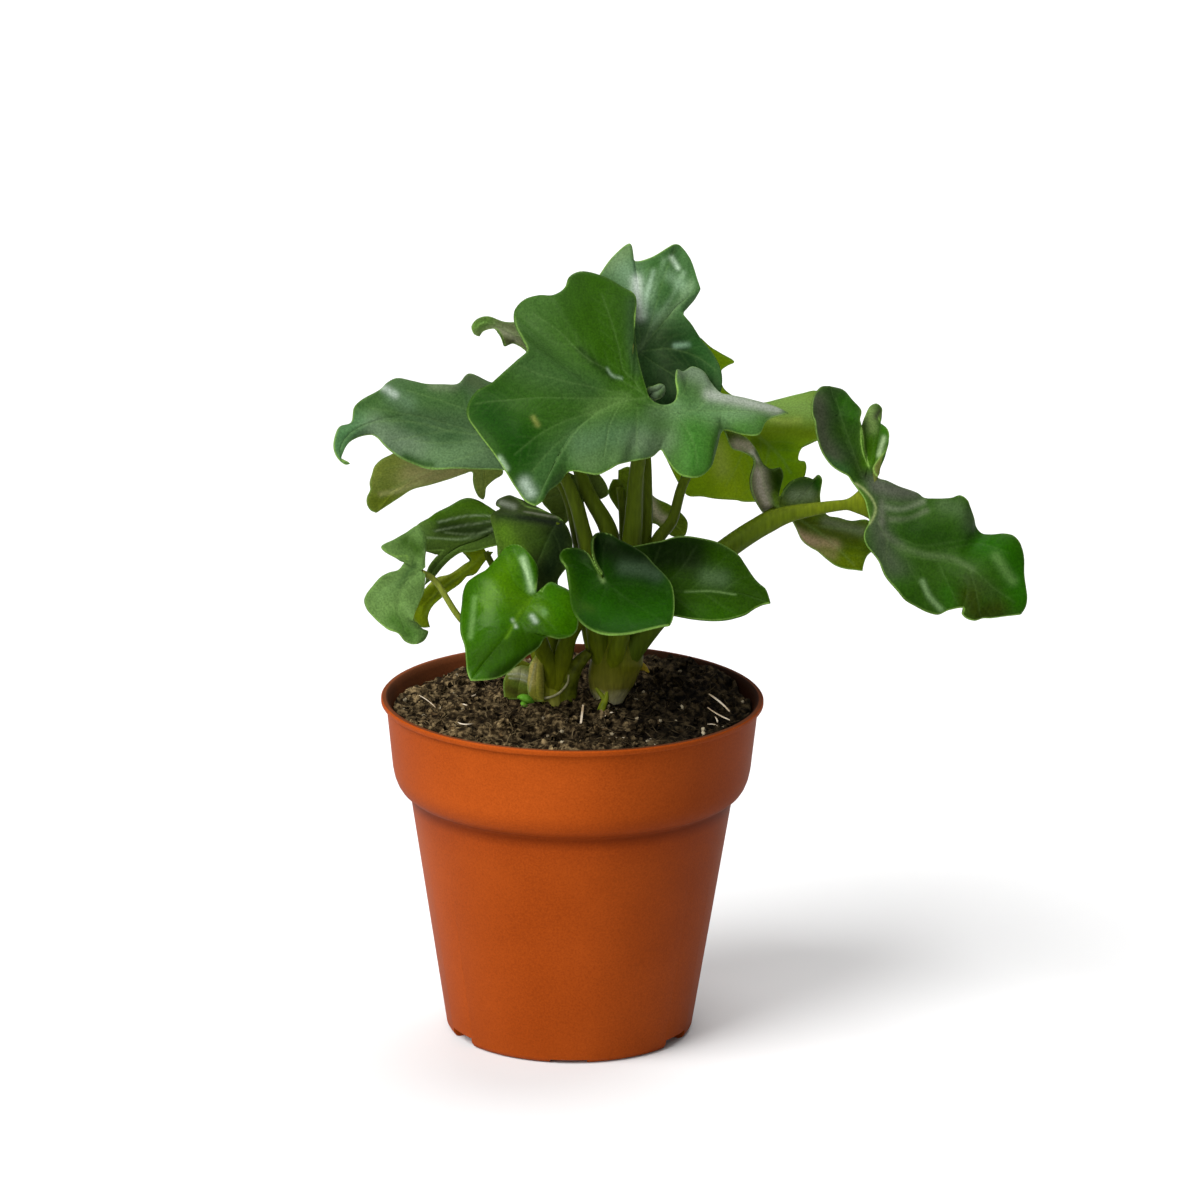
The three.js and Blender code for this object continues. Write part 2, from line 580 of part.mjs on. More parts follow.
const FRONT_CENTRE_LEAF = {
  name: "leaf_front_centre",
  front: 20,
  lean: [0, -0.8],
  rise: -0.06,
  bays: [
    {
      spine: [[8.2, 123.8]],
      a: [[7.3, 124.9], [5.8, 127], [4.9, 129], [3.4, 131.2], [0.8, 132.3], [-0.8, 132.4], [-3.1, 131.8],
        [-4.1, 130.2], [-3.8, 128.7], [-2.6, 127.2], [-1.8, 123.3]],
      b: [[7.9, 124.9, 1], [6.4, 127, 2], [5.5, 128.9, 2], [4.8, 131.8, 2], [4.9, 134.9, 1], [6, 136.5],
        [7.5, 136.7], [10.2, 136.2], [12.2, 134.9], [14.1, 134]],
    },
    {
      spine: [[11, 121.5], [15, 118.5], [19.5, 115.2], [23.5, 112.7]],
      a: [[-1.2, 119.4], [-0.6, 115.9, 1], [0.6, 113.3, 2], [2.6, 111, 3], [5.7, 109.1, 3], [8.8, 108.2, 4],
        [11.9, 108.1, 4], [15.8, 108.5, 3], [20.1, 109.5, 2], [24.2, 110.5, 1]],
      b: [[17, 132.5], [20, 130.5], [22.1, 128.2], [25.6, 124.7, -1], [27.2, 122.4, -1], [27.9, 119.3, -1],
        [28, 115.4], [27.5, 112.5]],
    },
  ],
  tip: [26.8, 110.9],
};

const FRONT_RIGHT_LEAF = {
  name: "leaf_front_right",
  front: 10,
  lean: [0.05, -0.7],
  rise: 0.06,
  bays: [
    {
      spine: [[18, 122]],
      a: [[16.5, 124], [13, 128], [13, 132], [17.7, 133.1]],
      b: [[16.5, 121], [14.5, 117], [17, 114], [22, 113]],
    },
    {
      spine: [[22, 121.2], [29.2, 120.5], [36, 120.8], [43.5, 120.6], [49.5, 119.4]],
      a: [[21.2, 133.9], [24.3, 134.5], [27.8, 135.6], [31, 135.9], [34.5, 135.5], [39.5, 134.4],
        [42.3, 133.1], [45.6, 130.9], [47.7, 128], [50.1, 124.5], [51.7, 122.8], [53.3, 121.5],
        [54.3, 119.2]],
      b: [[27.5, 113.6], [30.1, 113.2], [33.2, 112.7], [38.2, 112.3], [42.1, 112.5], [45.2, 113.2],
        [48, 114.2], [50.3, 115.8], [52.6, 116.9]],
    },
  ],
  tip: [54.8, 117.4],
};

const MIDDLE_LEAF = {
  name: "leaf_middle",
  front: -1,
  lean: [0, -0.15],
  rise: 0.05,
  bays: [
    {
      spine: [[-4, 140.5]],
      a: [[-5.6, 141.4, -2], [-9, 142.4, -5], [-13.8, 143.6, -8], [-15.7, 145.4, -11], [-18.1, 146.7, -13],
        [-21.2, 145.6, -12], [-22, 144.2, -9], [-20.8, 143, -5]],
      b: [[-3, 139.5], [-1.5, 137], [-0.6, 133.5], [-0.6, 130]],
    },
    {
      spine: [[-6, 137.5], [-9, 131], [-11.5, 124.5]],
      a: [[-23.4, 140.9], [-22.6, 137], [-21.6, 132.8], [-21.3, 129.6], [-20, 125], [-17, 120]],
      b: [[-2, 127], [-3.9, 124.4], [-5, 122.5], [-8, 120.6], [-10.5, 118.5]],
    },
  ],
  tip: [-13, 116.5],
};

const MID_LEFT_LEAF = {
  name: "leaf_mid_left",
  front: -7,
  lean: [-0.1, -0.2],
  rise: 0.06,
  bays: [
    {
      spine: [[-19, 138]],
      a: [[-18, 140], [-17.5, 142], [-20.2, 141.5]],
      b: [[-18, 136], [-19, 134], [-21.5, 132.8]],
    },
    {
      spine: [[-22, 136.5], [-27, 134], [-32, 132.3], [-35.5, 130], [-38.5, 126.8]],
      a: [[-22.7, 142.8], [-24.7, 144.1, -2], [-27, 145.3, -3], [-29.6, 145.9, -4], [-31.7, 145.4, -4],
        [-34.8, 143.6, -3], [-38.7, 141.6, -1], [-40.6, 140.2], [-43.5, 138.5], [-46, 135], [-44.5, 132],
        [-41, 131], [-36.6, 131.2], [-38.7, 129.2], [-40.7, 126.3]],
      b: [[-23.7, 132.2], [-28.9, 130.9], [-31.5, 130.7], [-34.2, 129], [-36.8, 126.4], [-38.8, 123.9]],
    },
  ],
  tip: [-41.5, 121.5],
};

const LOW_LEFT_LEAF = {
  name: "leaf_low_left",
  front: 6,
  lean: [0, -0.3],
  rise: 0.05,
  bays: [
    {
      spine: [[-42.5, 125.5]],
      a: [[-41.4, 126.5], [-41.5, 129.5], [-41.3, 131.9], [-41.6, 135], [-43.3, 138.1], [-47.2, 135.9],
        [-50.3, 134.1], [-53.8, 132, 2], [-49.6, 129.2], [-46.6, 129.4]],
      b: [[-41.3, 124.5]],
    },
    {
      spine: [[-45.5, 122.5], [-48, 118.5], [-48.5, 113.5], [-46, 109.5], [-43.8, 107.4]],
      a: [[-47.7, 127.2], [-49, 125.7], [-51.4, 125], [-53.7, 123.8], [-56, 121.2, -1], [-57.9, 118.5, -2],
        [-58.3, 116.9, -3], [-57.5, 114.6, -3], [-55.5, 112.3, -2], [-53.2, 110.2, -1], [-51.4, 108.9],
        [-48.9, 108.1], [-46.9, 105.9, -1], [-45, 105.1, -1]],
      b: [[-41.4, 123.3], [-41.8, 119.4, -1], [-43.1, 116.3], [-44.6, 112, 2], [-43.4, 110.7],
        [-41.5, 109.1, -2], [-40.5, 108.6, -2], [-41.5, 106.2, -1]],
    },
  ],
  tip: [-43.3, 105.1],
};

const LOW_BACK_LEAF = {
  name: "leaf_low_back",
  front: -13,
  lean: [-0.25, 0.05],
  rise: -0.05,
  bays: [
    {
      spine: [[-24.5, 131]],
      a: [[-25.5, 132.5], [-28.5, 132]],
      b: [[-22.5, 131], [-23.6, 129.6]],
    },
    {
      spine: [[-27, 127.8], [-30.5, 125.3], [-35, 122], [-38.5, 119], [-42, 115.5], [-42, 112.5]],
      a: [[-31, 130.9], [-28.9, 128.8], [-30.8, 127.3], [-34.7, 124.6], [-38.2, 123.6], [-41, 121],
        [-43.5, 117.5], [-45, 114], [-44.6, 112.1], [-42.3, 109.8]],
      b: [[-24.2, 129], [-25.5, 127.4], [-27.6, 124.7], [-29.5, 124.3], [-31.8, 121.9], [-34.5, 120],
        [-36.4, 118.4], [-39.5, 115.3], [-40.5, 112.6]],
    },
  ],
  tip: [-39.9, 109.8],
};

const BACK_LOW_LEAF = {
  name: "leaf_back_low",
  front: -21,
  lean: [0, 0.3],
  rise: -0.05,
  bays: [
    {
      spine: [[12, 151.5]],
      a: [[12, 154], [15, 155]],
      b: [[10.5, 151.5], [9.6, 149.5]],
    },
    {
      spine: [[14, 148], [18, 144.5], [23, 142.3], [28, 138.8]],
      a: [[19, 151], [22, 146.8], [26.5, 144.5], [29.8, 142.1], [31.4, 139.9], [31.4, 137.8]],
      b: [[9.4, 147.4], [11, 144.5], [13.7, 141.2], [17, 139.3], [22.3, 139.3], [24, 138.2],
        [27.5, 135.8]],
    },
  ],
  tip: [30.9, 136.1],
};

const BACK_DARK_LEAF = {
  name: "leaf_back_dark",
  front: -14.5,
  lean: [0, -0.1],
  rise: 0.06,
  bays: [
    {
      spine: [[0, 152.5]],
      a: [[-3, 154], [-6, 152.5]],
      b: [[3, 154.2], [6.5, 153]],
    },
    {
      spine: [[-0.5, 150], [-1.5, 146.5], [-2.4, 142.5]],
      a: [[-8.5, 149], [-9.2, 145.3], [-7, 142.5], [-5.6, 140.6]],
      b: [[9, 149.5], [9.3, 147.3], [6, 145.6], [3.2, 145.2], [1.2, 145.4], [0, 142]],
    },
  ],
  tip: [-3, 138.5],
};

const LEAVES = [
  MAIN_LEAF,
  BACK_TOP_LEAF,
  LEFT_UPPER_LEAF,
  LEFT_UNDER_LEAF,
  BACK_LEFT_LEAF,
  BACK_RIGHT_LEAF,
  RIGHT_INNER_LEAF,
  RIGHT_LEAF,
  FRONT_LEFT_LEAF,
  FRONT_CENTRE_LEAF,
  FRONT_RIGHT_LEAF,
  MIDDLE_LEAF,
  MID_LEFT_LEAF,
  LOW_LEFT_LEAF,
  LOW_BACK_LEAF,
  BACK_LOW_LEAF,
  BACK_DARK_LEAF,
];

// Each stalk runs from inside its crown to the back of its blade.
const STALKS = [
  { leaf: "main", radii: [2.4, 2.2, 1.9],
    points: [[12, 104, -4], [15.9, 133.5, -6], [16.8, 150, -4], [18.2, 163, 1], [18.6, 172.4, 10.6]] },
  { leaf: "back_top", radii: [1.5, 1.25, 1.2],
    points: [[13, 104, -9], [19.5, 134, -11], [20.2, 150, -12], [18.8, 170, -14.5], [17, 186, -11.2]] },
  { leaf: "left_upper", radii: [2.1, 1.9, 1.5],
    points: [[8, 103, -4], [3.5, 132.7, -4], [-2.5, 151.2, -3], [-9, 160, -1], [-19, 163, 2]] },
  { leaf: "left_under", radii: [1.5, 1.3, 1.1],
    points: [[6, 104, -9], [1.5, 132, -9], [-4, 150, -8.6], [-12, 158, -7.4], [-25, 158, -8.2]] },
  { leaf: "back_left", radii: [2.2, 2, 1.5],
    points: [[9, 103, -8], [9.9, 135.5, -8], [3.4, 148.2, -9], [-1, 162, -12], [-3, 183, -18.2]] },
  { leaf: "back_right", radii: [1.6, 1.45, 1.3],
    points: [[14.5, 104, -7], [23, 134.5, -10], [27, 140, -11], [30, 150.3, -13], [41, 172, -26]] },
  { leaf: "right_inner", radii: [1.5, 1.3, 1.2],
    points: [[15, 103, -9], [28, 119, -12], [42.5, 134.4, -13.5], [50, 139.8, -15.5], [57, 144, -19.6]] },
  { leaf: "right", radii: [3.4, 2.8, 2.4, 2, 1.6, 4.6], deep: 0.35,
    points: [[15, 103, -4], [28, 119, -6], [42.5, 132.5, -8], [57, 141.4, -8], [70, 146, -6.4],
      [81.5, 147.6, -5]] },
  { leaf: "front_left", radii: [1.8, 1.5, 1.4],
    points: [[-5.5, 96, -3], [-8.5, 104, 0], [-10, 112, 6], [-10.9, 118.6, 15.4]] },
  { leaf: "front_centre", radii: [1.8, 1.6, 1.5],
    points: [[-4, 96, -3], [-1.5, 107, 0], [3, 114, 6], [8, 123.2, 19.8]] },
  { leaf: "front_right", radii: [1.8, 1.6, 1.4],
    points: [[12, 103, 0], [15, 112, 2], [18, 122, 9.8]] },
  { leaf: "middle", radii: [1.5, 1.3, 1.2],
    points: [[-6, 97, -6], [-6, 115, -7], [-5.4, 130, -6], [-4.2, 140.3, -1.4]] },
  { leaf: "mid_left", radii: [1.5, 1.2, 1.1],
    points: [[-7, 97, -7], [-11, 115, -11], [-16, 130, -12], [-19.3, 137.8, -7.2]] },
  { leaf: "low_left", radii: [1.1, 0.9, 0.85],
    points: [[-8, 96, -2], [-18, 101, 2], [-31.4, 112.2, 2.6], [-39, 123.1, 3], [-43, 125.3, 5.6]] },
  { leaf: "low_back", radii: [1.2, 1, 0.9],
    points: [[-8, 97, -9], [-14, 112, -14], [-21, 124, -12], [-24.7, 131, -13.4]] },
  { leaf: "back_low", radii: [1.4, 1.2, 1],
    points: [[12, 104, -12], [13.5, 130, -16.5], [13, 145, -18.5], [12, 151.4, -21.2]] },
  { leaf: "back_dark", radii: [1.4, 1.2, 1],
    points: [[8, 104, -12], [5, 130, -15.5], [1, 147, -17.5], [0, 152.6, -14.6]] },
];

// The crowns go down into the mix, where their roots spread.
const MAIN_CROWN = {
  points: [[9.5, 68, -6], [9.5, 86, -6], [9.8, 92, -6], [11, 98, -6], [13, 104.5, -6], [14.2, 109, -6.5]],
  radii: [2.4, 2.8, 3.2, 3.9, 6.2, 7.1, 5.5],
};
const SIDE_CROWN = {
  points: [[-5, 72, -4.5], [-5.5, 88, -4.5], [-6, 99, -4.5]],
  radii: [2.4, 3.6, 4.2, 3],
};
const ROOT_RADII = [1.3, 1, 0.7];
const MAIN_ROOTS = [
  [[9, 76, -6], [20, 66, 4], [26, 46, 8]],
  [[10, 74, -6], [24, 62, -14], [28, 40, -22]],
  [[9, 74, -6], [4, 58, -20], [8, 34, -26]],
  [[9, 74, -6], [12, 52, -2], [4, 30, 8]],
];
const SIDE_ROOTS = [
  [[-5, 78, -4.5], [-18, 66, 4], [-24, 46, 10]],
  [[-5, 78, -4.5], [-14, 62, -16], [-24, 42, -20]],
];

// Young shoots, a bud, a scale and a bare root around the two crowns.
const SHOOTS = [
  { name: "shoot_curved", radii: [2.4, 2.4, 2.1, 1.4], material: STALK_GREEN,
    points: [[-1.2, 88, -1], [-1, 94, -1.4], [1, 99.5, -1.6], [4.5, 103.5, -2]] },
  { name: "shoot_front", radii: [1.3, 1.2, 1, 0.5], material: YOUNG_GREEN,
    points: [[7.4, 85, 10.6], [8.2, 88, 10], [9.2, 90.5, 9], [7.6, 92.8, 8]] },
  { name: "bud", radii: [1.5, 1.6, 0.6], material: YOUNG_GREEN,
    points: [[-13.6, 88, 2.4], [-13.4, 90.4, 2.4], [-12.6, 92.4, 2.4]] },
  { name: "scale", radii: [1.5, 1.2, 0.5], material: SHEATH_PALE,
    points: [[16, 99.8, -6], [19, 99.6, -6], [21.2, 98.2, -6]] },
  { name: "root_bare", radii: [0.4, 0.4], material: SHEATH_PALE,
    points: [[-1.2, 97, 1.3], [-1.4, 95, 1.9], [-2.9, 92.7, 1.6], [-5.6, 90.9, 0.6], [-9.5, 90.2, 0.2]] },
];

// Papery sheaths that wrap the side crown.
const TALL_SHEATH = {
  name: "sheath_tall",
  front: 0.4,
  lean: [0.3, 0],
  rise: 0.1,
  bays: [
    {
      spine: [[-9.8, 89.4], [-10.2, 96], [-9.8, 100]],
      a: [[-12, 89.4], [-13, 97], [-11.6, 100.5]],
      b: [[-8, 89.4], [-8, 96.5], [-8.6, 100.5]],
    },
  ],
  tip: [-9.8, 103.3],
};
const WIDE_SHEATH = {
  name: "sheath_wide",
  front: -1.6,
  lean: [0.15, 0.1],
  rise: 0.08,
  bays: [
    {
      spine: [[-15.4, 90], [-15.2, 93], [-14.6, 96]],
      a: [[-19, 90], [-19.2, 95.2], [-17.6, 98]],
      b: [[-12.4, 90], [-11.6, 95], [-11.8, 98.6]],
    },
  ],
  tip: [-14.2, 99.6],
};

function crown({ points, radii }, roots, grown) {
  const body = swept(points, radii, { sides: 12, steps: 9, grown });
  const options = { sides: ROOT_SIDES, steps: 5, grown };
  return roots.reduce((joined, root) => joined.add(swept(root, ROOT_RADII, options)), body);
}

place("pot", pot(), ORANGE);

const grownCrowns = [crown(MAIN_CROWN, MAIN_ROOTS, CLEARANCE), crown(SIDE_CROWN, SIDE_ROOTS, CLEARANCE)];
const mix = carve(pottingMix(), grownCrowns);
place("potting_mix", mix, SOIL);
const mainCrown = crown(MAIN_CROWN, MAIN_ROOTS, 0);
place("crown_main", mainCrown, CROWN_GREEN);
place("crown_side", carve(crown(SIDE_CROWN, SIDE_ROOTS, 0), [grownCrowns[0]]), CROWN_GREEN);

for (const leaf of LEAVES) {
  place(leaf.name, blade(leaf, BLADE_THICKNESS), leaf === FRONT_LEFT_LEAF ? YOUNG_GREEN : LEAF_GREEN);
}

const taken = [...grownCrowns];
for (const { leaf, radii, points, deep } of STALKS) {
  const own = LEAVES.find(({ name }) => name === `leaf_${leaf}`);
  const ownBlade = [0, 2 * CLEARANCE].map((grown) => blade(own, BLADE_THICKNESS + grown));
  place(`stalk_${leaf}`, carve(swept(points, radii, { deep }), [...taken, ...ownBlade]), STALK_GREEN);
  taken.push(swept(points, radii, { deep, grown: CLEARANCE }));
}

// The shoots and sheaths stop just clear of the mix and of what they stand against.
taken.push(mix, mix.translate([0, 0, CLEARANCE]));
for (const { name, radii, points, material } of SHOOTS) {
  const options = { sides: name === "root_bare" ? 5 : 8, steps: 6 };
  place(name, carve(swept(points, radii, options), taken), material);
  taken.push(swept(points, radii, { ...options, grown: CLEARANCE }));
}
for (const sheath of [TALL_SHEATH, WIDE_SHEATH]) {
  place(sheath.name, carve(blade(sheath, BLADE_THICKNESS), taken), SHEATH_PALE);
  taken.push(blade(sheath, BLADE_THICKNESS + 2 * CLEARANCE));
}

export default plant;
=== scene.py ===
# Potted atom philodendron: lobed, wavy leaves on curved stalks from two crowns, in a nursery pot.
import math
import random

import bmesh
import bpy
import numpy as np
from mathutils import Matrix, Vector, noise


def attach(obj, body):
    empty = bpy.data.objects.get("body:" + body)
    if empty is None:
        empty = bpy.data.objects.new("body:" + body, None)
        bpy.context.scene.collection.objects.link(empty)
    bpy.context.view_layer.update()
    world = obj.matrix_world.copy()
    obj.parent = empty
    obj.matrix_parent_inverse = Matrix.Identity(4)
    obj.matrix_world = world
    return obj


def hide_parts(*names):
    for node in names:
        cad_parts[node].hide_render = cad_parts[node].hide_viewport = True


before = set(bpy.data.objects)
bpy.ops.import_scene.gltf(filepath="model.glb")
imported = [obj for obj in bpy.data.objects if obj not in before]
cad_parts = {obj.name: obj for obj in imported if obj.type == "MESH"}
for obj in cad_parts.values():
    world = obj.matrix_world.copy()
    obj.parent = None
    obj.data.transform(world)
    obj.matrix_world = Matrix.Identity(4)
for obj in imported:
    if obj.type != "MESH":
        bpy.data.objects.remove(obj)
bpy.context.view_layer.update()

# The pot: one moulded shell of satin orange plastic, about 1.2 mm thick. It has a rolled lip,
# a collar over a stepped shoulder, and a foot ring cut by slots that let the water out.
MM = 0.001
POT_SIDES = 180
# Radius and height, up the outside from the foot to the lip, and down the inside to the floor.
POT_OUTSIDE = [
    (32.3, 0), (33.4, 0.45), (34.1, 1.6), (44.4, 67.5), (44.9, 68.4), (46.1, 69), (47.1, 69.8),
    (47.9, 71), (48.6, 72.7), (48.9, 73.9), (49.2, 75.4), (49.35, 76.6), (51.1, 93.4), (52.3, 93.5),
    (52.5, 93.8), (52.5, 94.6), (52.2, 94.95),
]
POT_INSIDE = [
    (51.2, 95), (50.8, 94.8), (50.4, 94), (49.9, 93.3), (48.1, 76.3), (47.6, 74.4), (46.6, 72.3),
    (45.2, 70.4), (43.7, 69.1), (43.2, 68.1), (32.9, 4.9), (32.2, 4.3), (0, 4.2),
]
POT_UNDERSIDE = [(0, 0), (4, 0), (4.4, 3), (30.1, 3), (30.5, 0)]
SLOT_COUNT = 6
SLOT_WIDTH = 10.2
SLOT_HEIGHTS = (1.1, 2.8, 2.8)
SLOT_REACH = (27.7, 35.7)
BOX_SIDES = [(0, 1, 3, 2), (4, 6, 7, 5), (0, 4, 5, 1), (2, 3, 7, 6), (0, 2, 6, 4), (1, 5, 7, 3)]
DRAIN_RADIUS = 3
DRAIN_CIRCLE = 21
DRAIN_COUNT = 8
DRAIN_SIDES = 24
DRAIN_REACH = (1.5, 6)
SHARP_EDGE = math.radians(38)
# The corner under the collar gets painted shade, by how far up it is between these two heights.
CORNER_HEIGHTS = (58 * MM, 78 * MM)
CORNER_SHADE = [
    (0, (1, 1, 1)), (0.3, (0.9, 0.86, 0.86)), (0.46, (0.5, 0.42, 0.42)), (0.62, (0.84, 0.8, 0.8)),
    (0.85, (1, 1, 1)),
]
# Where the painted fall of light across the pot starts and ends, and the tone to the left of it.
OUTER_FALL = (4, 34, 1.05)
INNER_FALL = (-14, 26, 1.15)


def mesh_object(name, points, faces, finishes, finish_of_face=None):
    """A piece in the part's own frame, from points in millimetres."""
    mesh = bpy.data.meshes.new(name)
    mesh.from_pydata((np.asarray(points, dtype=float) * MM).tolist(), [], [list(f) for f in faces])
    for finish in finishes:
        mesh.materials.append(finish)
    if finish_of_face is not None:
        mesh.polygons.foreach_set("material_index", np.asarray(finish_of_face, dtype=np.int32))
    mesh.polygons.foreach_set("use_smooth", np.ones(len(mesh.polygons), dtype=bool))
    mesh.update()
    piece = bpy.data.objects.new(name, mesh)
    bpy.context.scene.collection.objects.link(piece)
    return piece


def lathe(profile, sides):
    """Points and quads of a profile turned about the pot's axis. It starts and ends on the axis."""
    points = []
    faces = []
    rings = []
    for radius, height in profile:
        if radius == 0:
            rings.append([len(points)] * sides)
            points.append((0, 0, height))
            continue
        rings.append(list(range(len(points), len(points) + sides)))
        for i in range(sides):
            turn = 2 * math.pi * i / sides
            points.append((radius * math.cos(turn), radius * math.sin(turn), height))
    for low, high in zip(rings, rings[1:]):
        for i in range(sides):
            corners = [low[i], low[(i + 1) % sides], high[(i + 1) % sides], high[i]]
            faces.append(list(dict.fromkeys(corners)))
    return points, faces


def cut(piece, cutters):
    """Takes the cutters out of the piece, for good."""
    for cutter in cutters:
        step = piece.modifiers.new(cutter.name, "BOOLEAN")
        step.operation = "DIFFERENCE"
        step.solver = "EXACT"
        step.object = cutter
    depsgraph = bpy.context.evaluated_depsgraph_get()
    result = bpy.data.meshes.new_from_object(piece.evaluated_get(depsgraph))
    piece.modifiers.clear()
    piece.data = result
    for cutter in cutters:
        bpy.data.objects.remove(cutter)


def node_tree(name):
    """A new material with one Principled shader, and a short way to add a node with its values."""
    material = bpy.data.materials.new(name)
    material.use_nodes = True
    tree = material.node_tree
    shader = tree.nodes["Principled BSDF"]

    def add(kind, **values):
        node = tree.nodes.new("ShaderNode" + kind)
        for key, value in values.items():
            if hasattr(node, key):
                setattr(node, key, value)
            else:
                node.inputs[key.replace("_", " ")].default_value = value
        return node

    return material, tree, shader, add


def speckle(tree, add, size, detail=3):
    """Noise with spots of about that size, in millimetres, fixed to the piece."""
    place = add("TexCoord")
    spots = add("TexNoise", Scale=1 / (size * MM), Detail=detail)
    tree.links.new(place.outputs["Object"], spots.inputs["Vector"])
    return spots


def ramp(tree, add, source, stops):
    """Turns a value into a colour, by stops of position and colour."""
    scale = add("ValToRGB")
    elements = scale.color_ramp.elements
    while len(elements) < len(stops):
        elements.new(0.5)
    for element, (position, colour) in zip(elements, stops):
        element.position = position
        element.color = (*colour, 1)
    tree.links.new(source, scale.inputs["Fac"])
    return scale


def bump(tree, add, shader, height, depth, strength=1.0):
    """Relief of that depth, in millimetres."""
    relief = add("Bump", Strength=strength, Distance=depth * MM)
    tree.links.new(height, relief.inputs["Height"])
    tree.links.new(relief.outputs["Normal"], shader.inputs["Normal"])


def shaded(tree, add, colour, shade):
    """The colour multiplied by a shade, which is a colour or a value."""
    mixed = add("MixRGB", blend_type="MULTIPLY", Fac=1)
    tree.links.new(colour, mixed.inputs["Color1"])
    tree.links.new(shade, mixed.inputs["Color2"])
    return mixed.outputs["Color"]


def place_along(tree, add, axis):
    """The place along one axis, fixed to the piece."""
    place = add("TexCoord")
    split = add("SeparateXYZ")
    tree.links.new(place.outputs["Object"], split.inputs["Vector"])
    return split.outputs[axis]


def spread(tree, add, source, low, high, to_low=0.0, to_high=1.0):
    """A value, spread from between the first two bounds to between the other two, and held there."""
    step = add("MapRange", From_Min=low, From_Max=high, To_Min=to_low, To_Max=to_high)
    tree.links.new(source, step.inputs["Value"])
    return step.outputs["Result"]


def darker_right(tree, add, colour, amount, start, end, left):
    """The colour, darkened by up to that amount toward the right, as if the light fell off there."""
    across = place_along(tree, add, "X")
    return shaded(tree, add, colour, spread(tree, add, across, start * MM, end * MM, left, 1 - amount))


def orange_plastic(name, dark, light, amount, fall):
    """Satin plastic: mottled, finely flecked, with painted shade under the collar and toward the right."""
    material, tree, shader, add = node_tree(name)
    mottle = speckle(tree, add, 40)
    tint = ramp(tree, add, mottle.outputs["Fac"], [(0.3, dark), (0.7, light)])
    grain = speckle(tree, add, 0.5)
    flecks = ramp(tree, add, grain.outputs["Fac"], [(0.3, (0.86, 0.84, 0.8)), (0.7, (1.14, 1.16, 1.2))])
    height = spread(tree, add, place_along(tree, add, "Z"), *CORNER_HEIGHTS)
    corner = ramp(tree, add, height, CORNER_SHADE)
    colour = shaded(tree, add, tint.outputs["Color"], flecks.outputs["Color"])
    colour = shaded(tree, add, colour, corner.outputs["Color"])
    colour = darker_right(tree, add, colour, amount, *fall)
    tree.links.new(colour, shader.inputs["Base Color"])
    shader.inputs["Roughness"].default_value = 0.56
    shader.inputs["Specular IOR Level"].default_value = 0.05
    shader.inputs["Specular Tint"].default_value = (1, 0.6, 0.35, 1)
    bump(tree, add, shader, grain.outputs["Fac"], 0.05, 0.35)
    return material


pot_points, pot_faces = lathe(POT_UNDERSIDE + POT_OUTSIDE + POT_INSIDE, POT_SIDES)
# Outside, inside wall and lip top, all with painted shade under the collar and toward the right. The inside
# wall's dark tone is peat stain and painted shade together; the lip's top is darker.
pot_finishes = [
    orange_plastic("orange_plastic", (0.236, 0.038, 0.003), (0.295, 0.051, 0.005), 0.28, OUTER_FALL),
    orange_plastic("stained_and_shaded_plastic", (0.022, 0.01, 0.004), (0.125, 0.034, 0.011), 0.8, INNER_FALL),
    orange_plastic("darker_lip_top", (0.08, 0.022, 0.006), (0.17, 0.042, 0.012), 0.4, INNER_FALL),
]
inner_from = len(pot_faces) - (len(POT_INSIDE) - 1) * POT_SIDES
lip_from = inner_from - POT_SIDES
finish_of_side = [1 if i >= inner_from else 2 if i >= lip_from else 0 for i in range(len(pot_faces))]
pot = mesh_object("nursery_pot", pot_points, pot_faces, pot_finishes, finish_of_side)
pot_cutters = []
for i in range(SLOT_COUNT):
    half, height = SLOT_WIDTH / 2, SLOT_HEIGHTS[i % 3]
    corners = [(r, s, h) for r in SLOT_REACH for s in (-half, half) for h in (-height, height)]
    turn = Matrix.Rotation(math.radians(360 / SLOT_COUNT * i - 90), 3, "Z")
    pot_cutters.append(mesh_object(f"slot_{i}", [turn @ Vector(c) for c in corners], BOX_SIDES, []))
for i in range(DRAIN_COUNT):
    around = 2 * math.pi * (i + 0.5) / DRAIN_COUNT
    centre = Vector((DRAIN_CIRCLE * math.cos(around), DRAIN_CIRCLE * math.sin(around), 0))
    angles = np.linspace(0, 2 * math.pi, DRAIN_SIDES + 1)[:-1]
    disc = [Vector((math.cos(a), math.sin(a), 0)) * DRAIN_RADIUS for a in angles]
    points = [centre + p + Vector((0, 0, h)) for h in DRAIN_REACH for p in disc]
    after = [(k + 1) % DRAIN_SIDES for k in range(DRAIN_SIDES)]
    walls = [(k, after[k], DRAIN_SIDES + after[k], DRAIN_SIDES + k) for k in range(DRAIN_SIDES)]
    ends = [tuple(range(DRAIN_SIDES - 1, -1, -1)), tuple(range(DRAIN_SIDES, 2 * DRAIN_SIDES))]
    pot_cutters.append(mesh_object(f"drain_{i}", points, walls + ends, []))
cut(pot, pot_cutters)
pot.data.set_sharp_from_angle(angle=SHARP_EDGE)
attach(pot, "root")
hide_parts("pot")

# The potting mix: damp peat and bark fines that fill the pot to a few millimetres below the lip,
# loose and fluffy on top, with root fibres, straws, bark chips and pale grit lying in it.
MIX_EDGE = 90.9
MIX_MOUND = 2.4
MIX_TOP = MIX_EDGE + MIX_MOUND
MIX_LUMPS = 0.45
MIX_REACH = 51.1
MOUND_SPHERE = 451.9
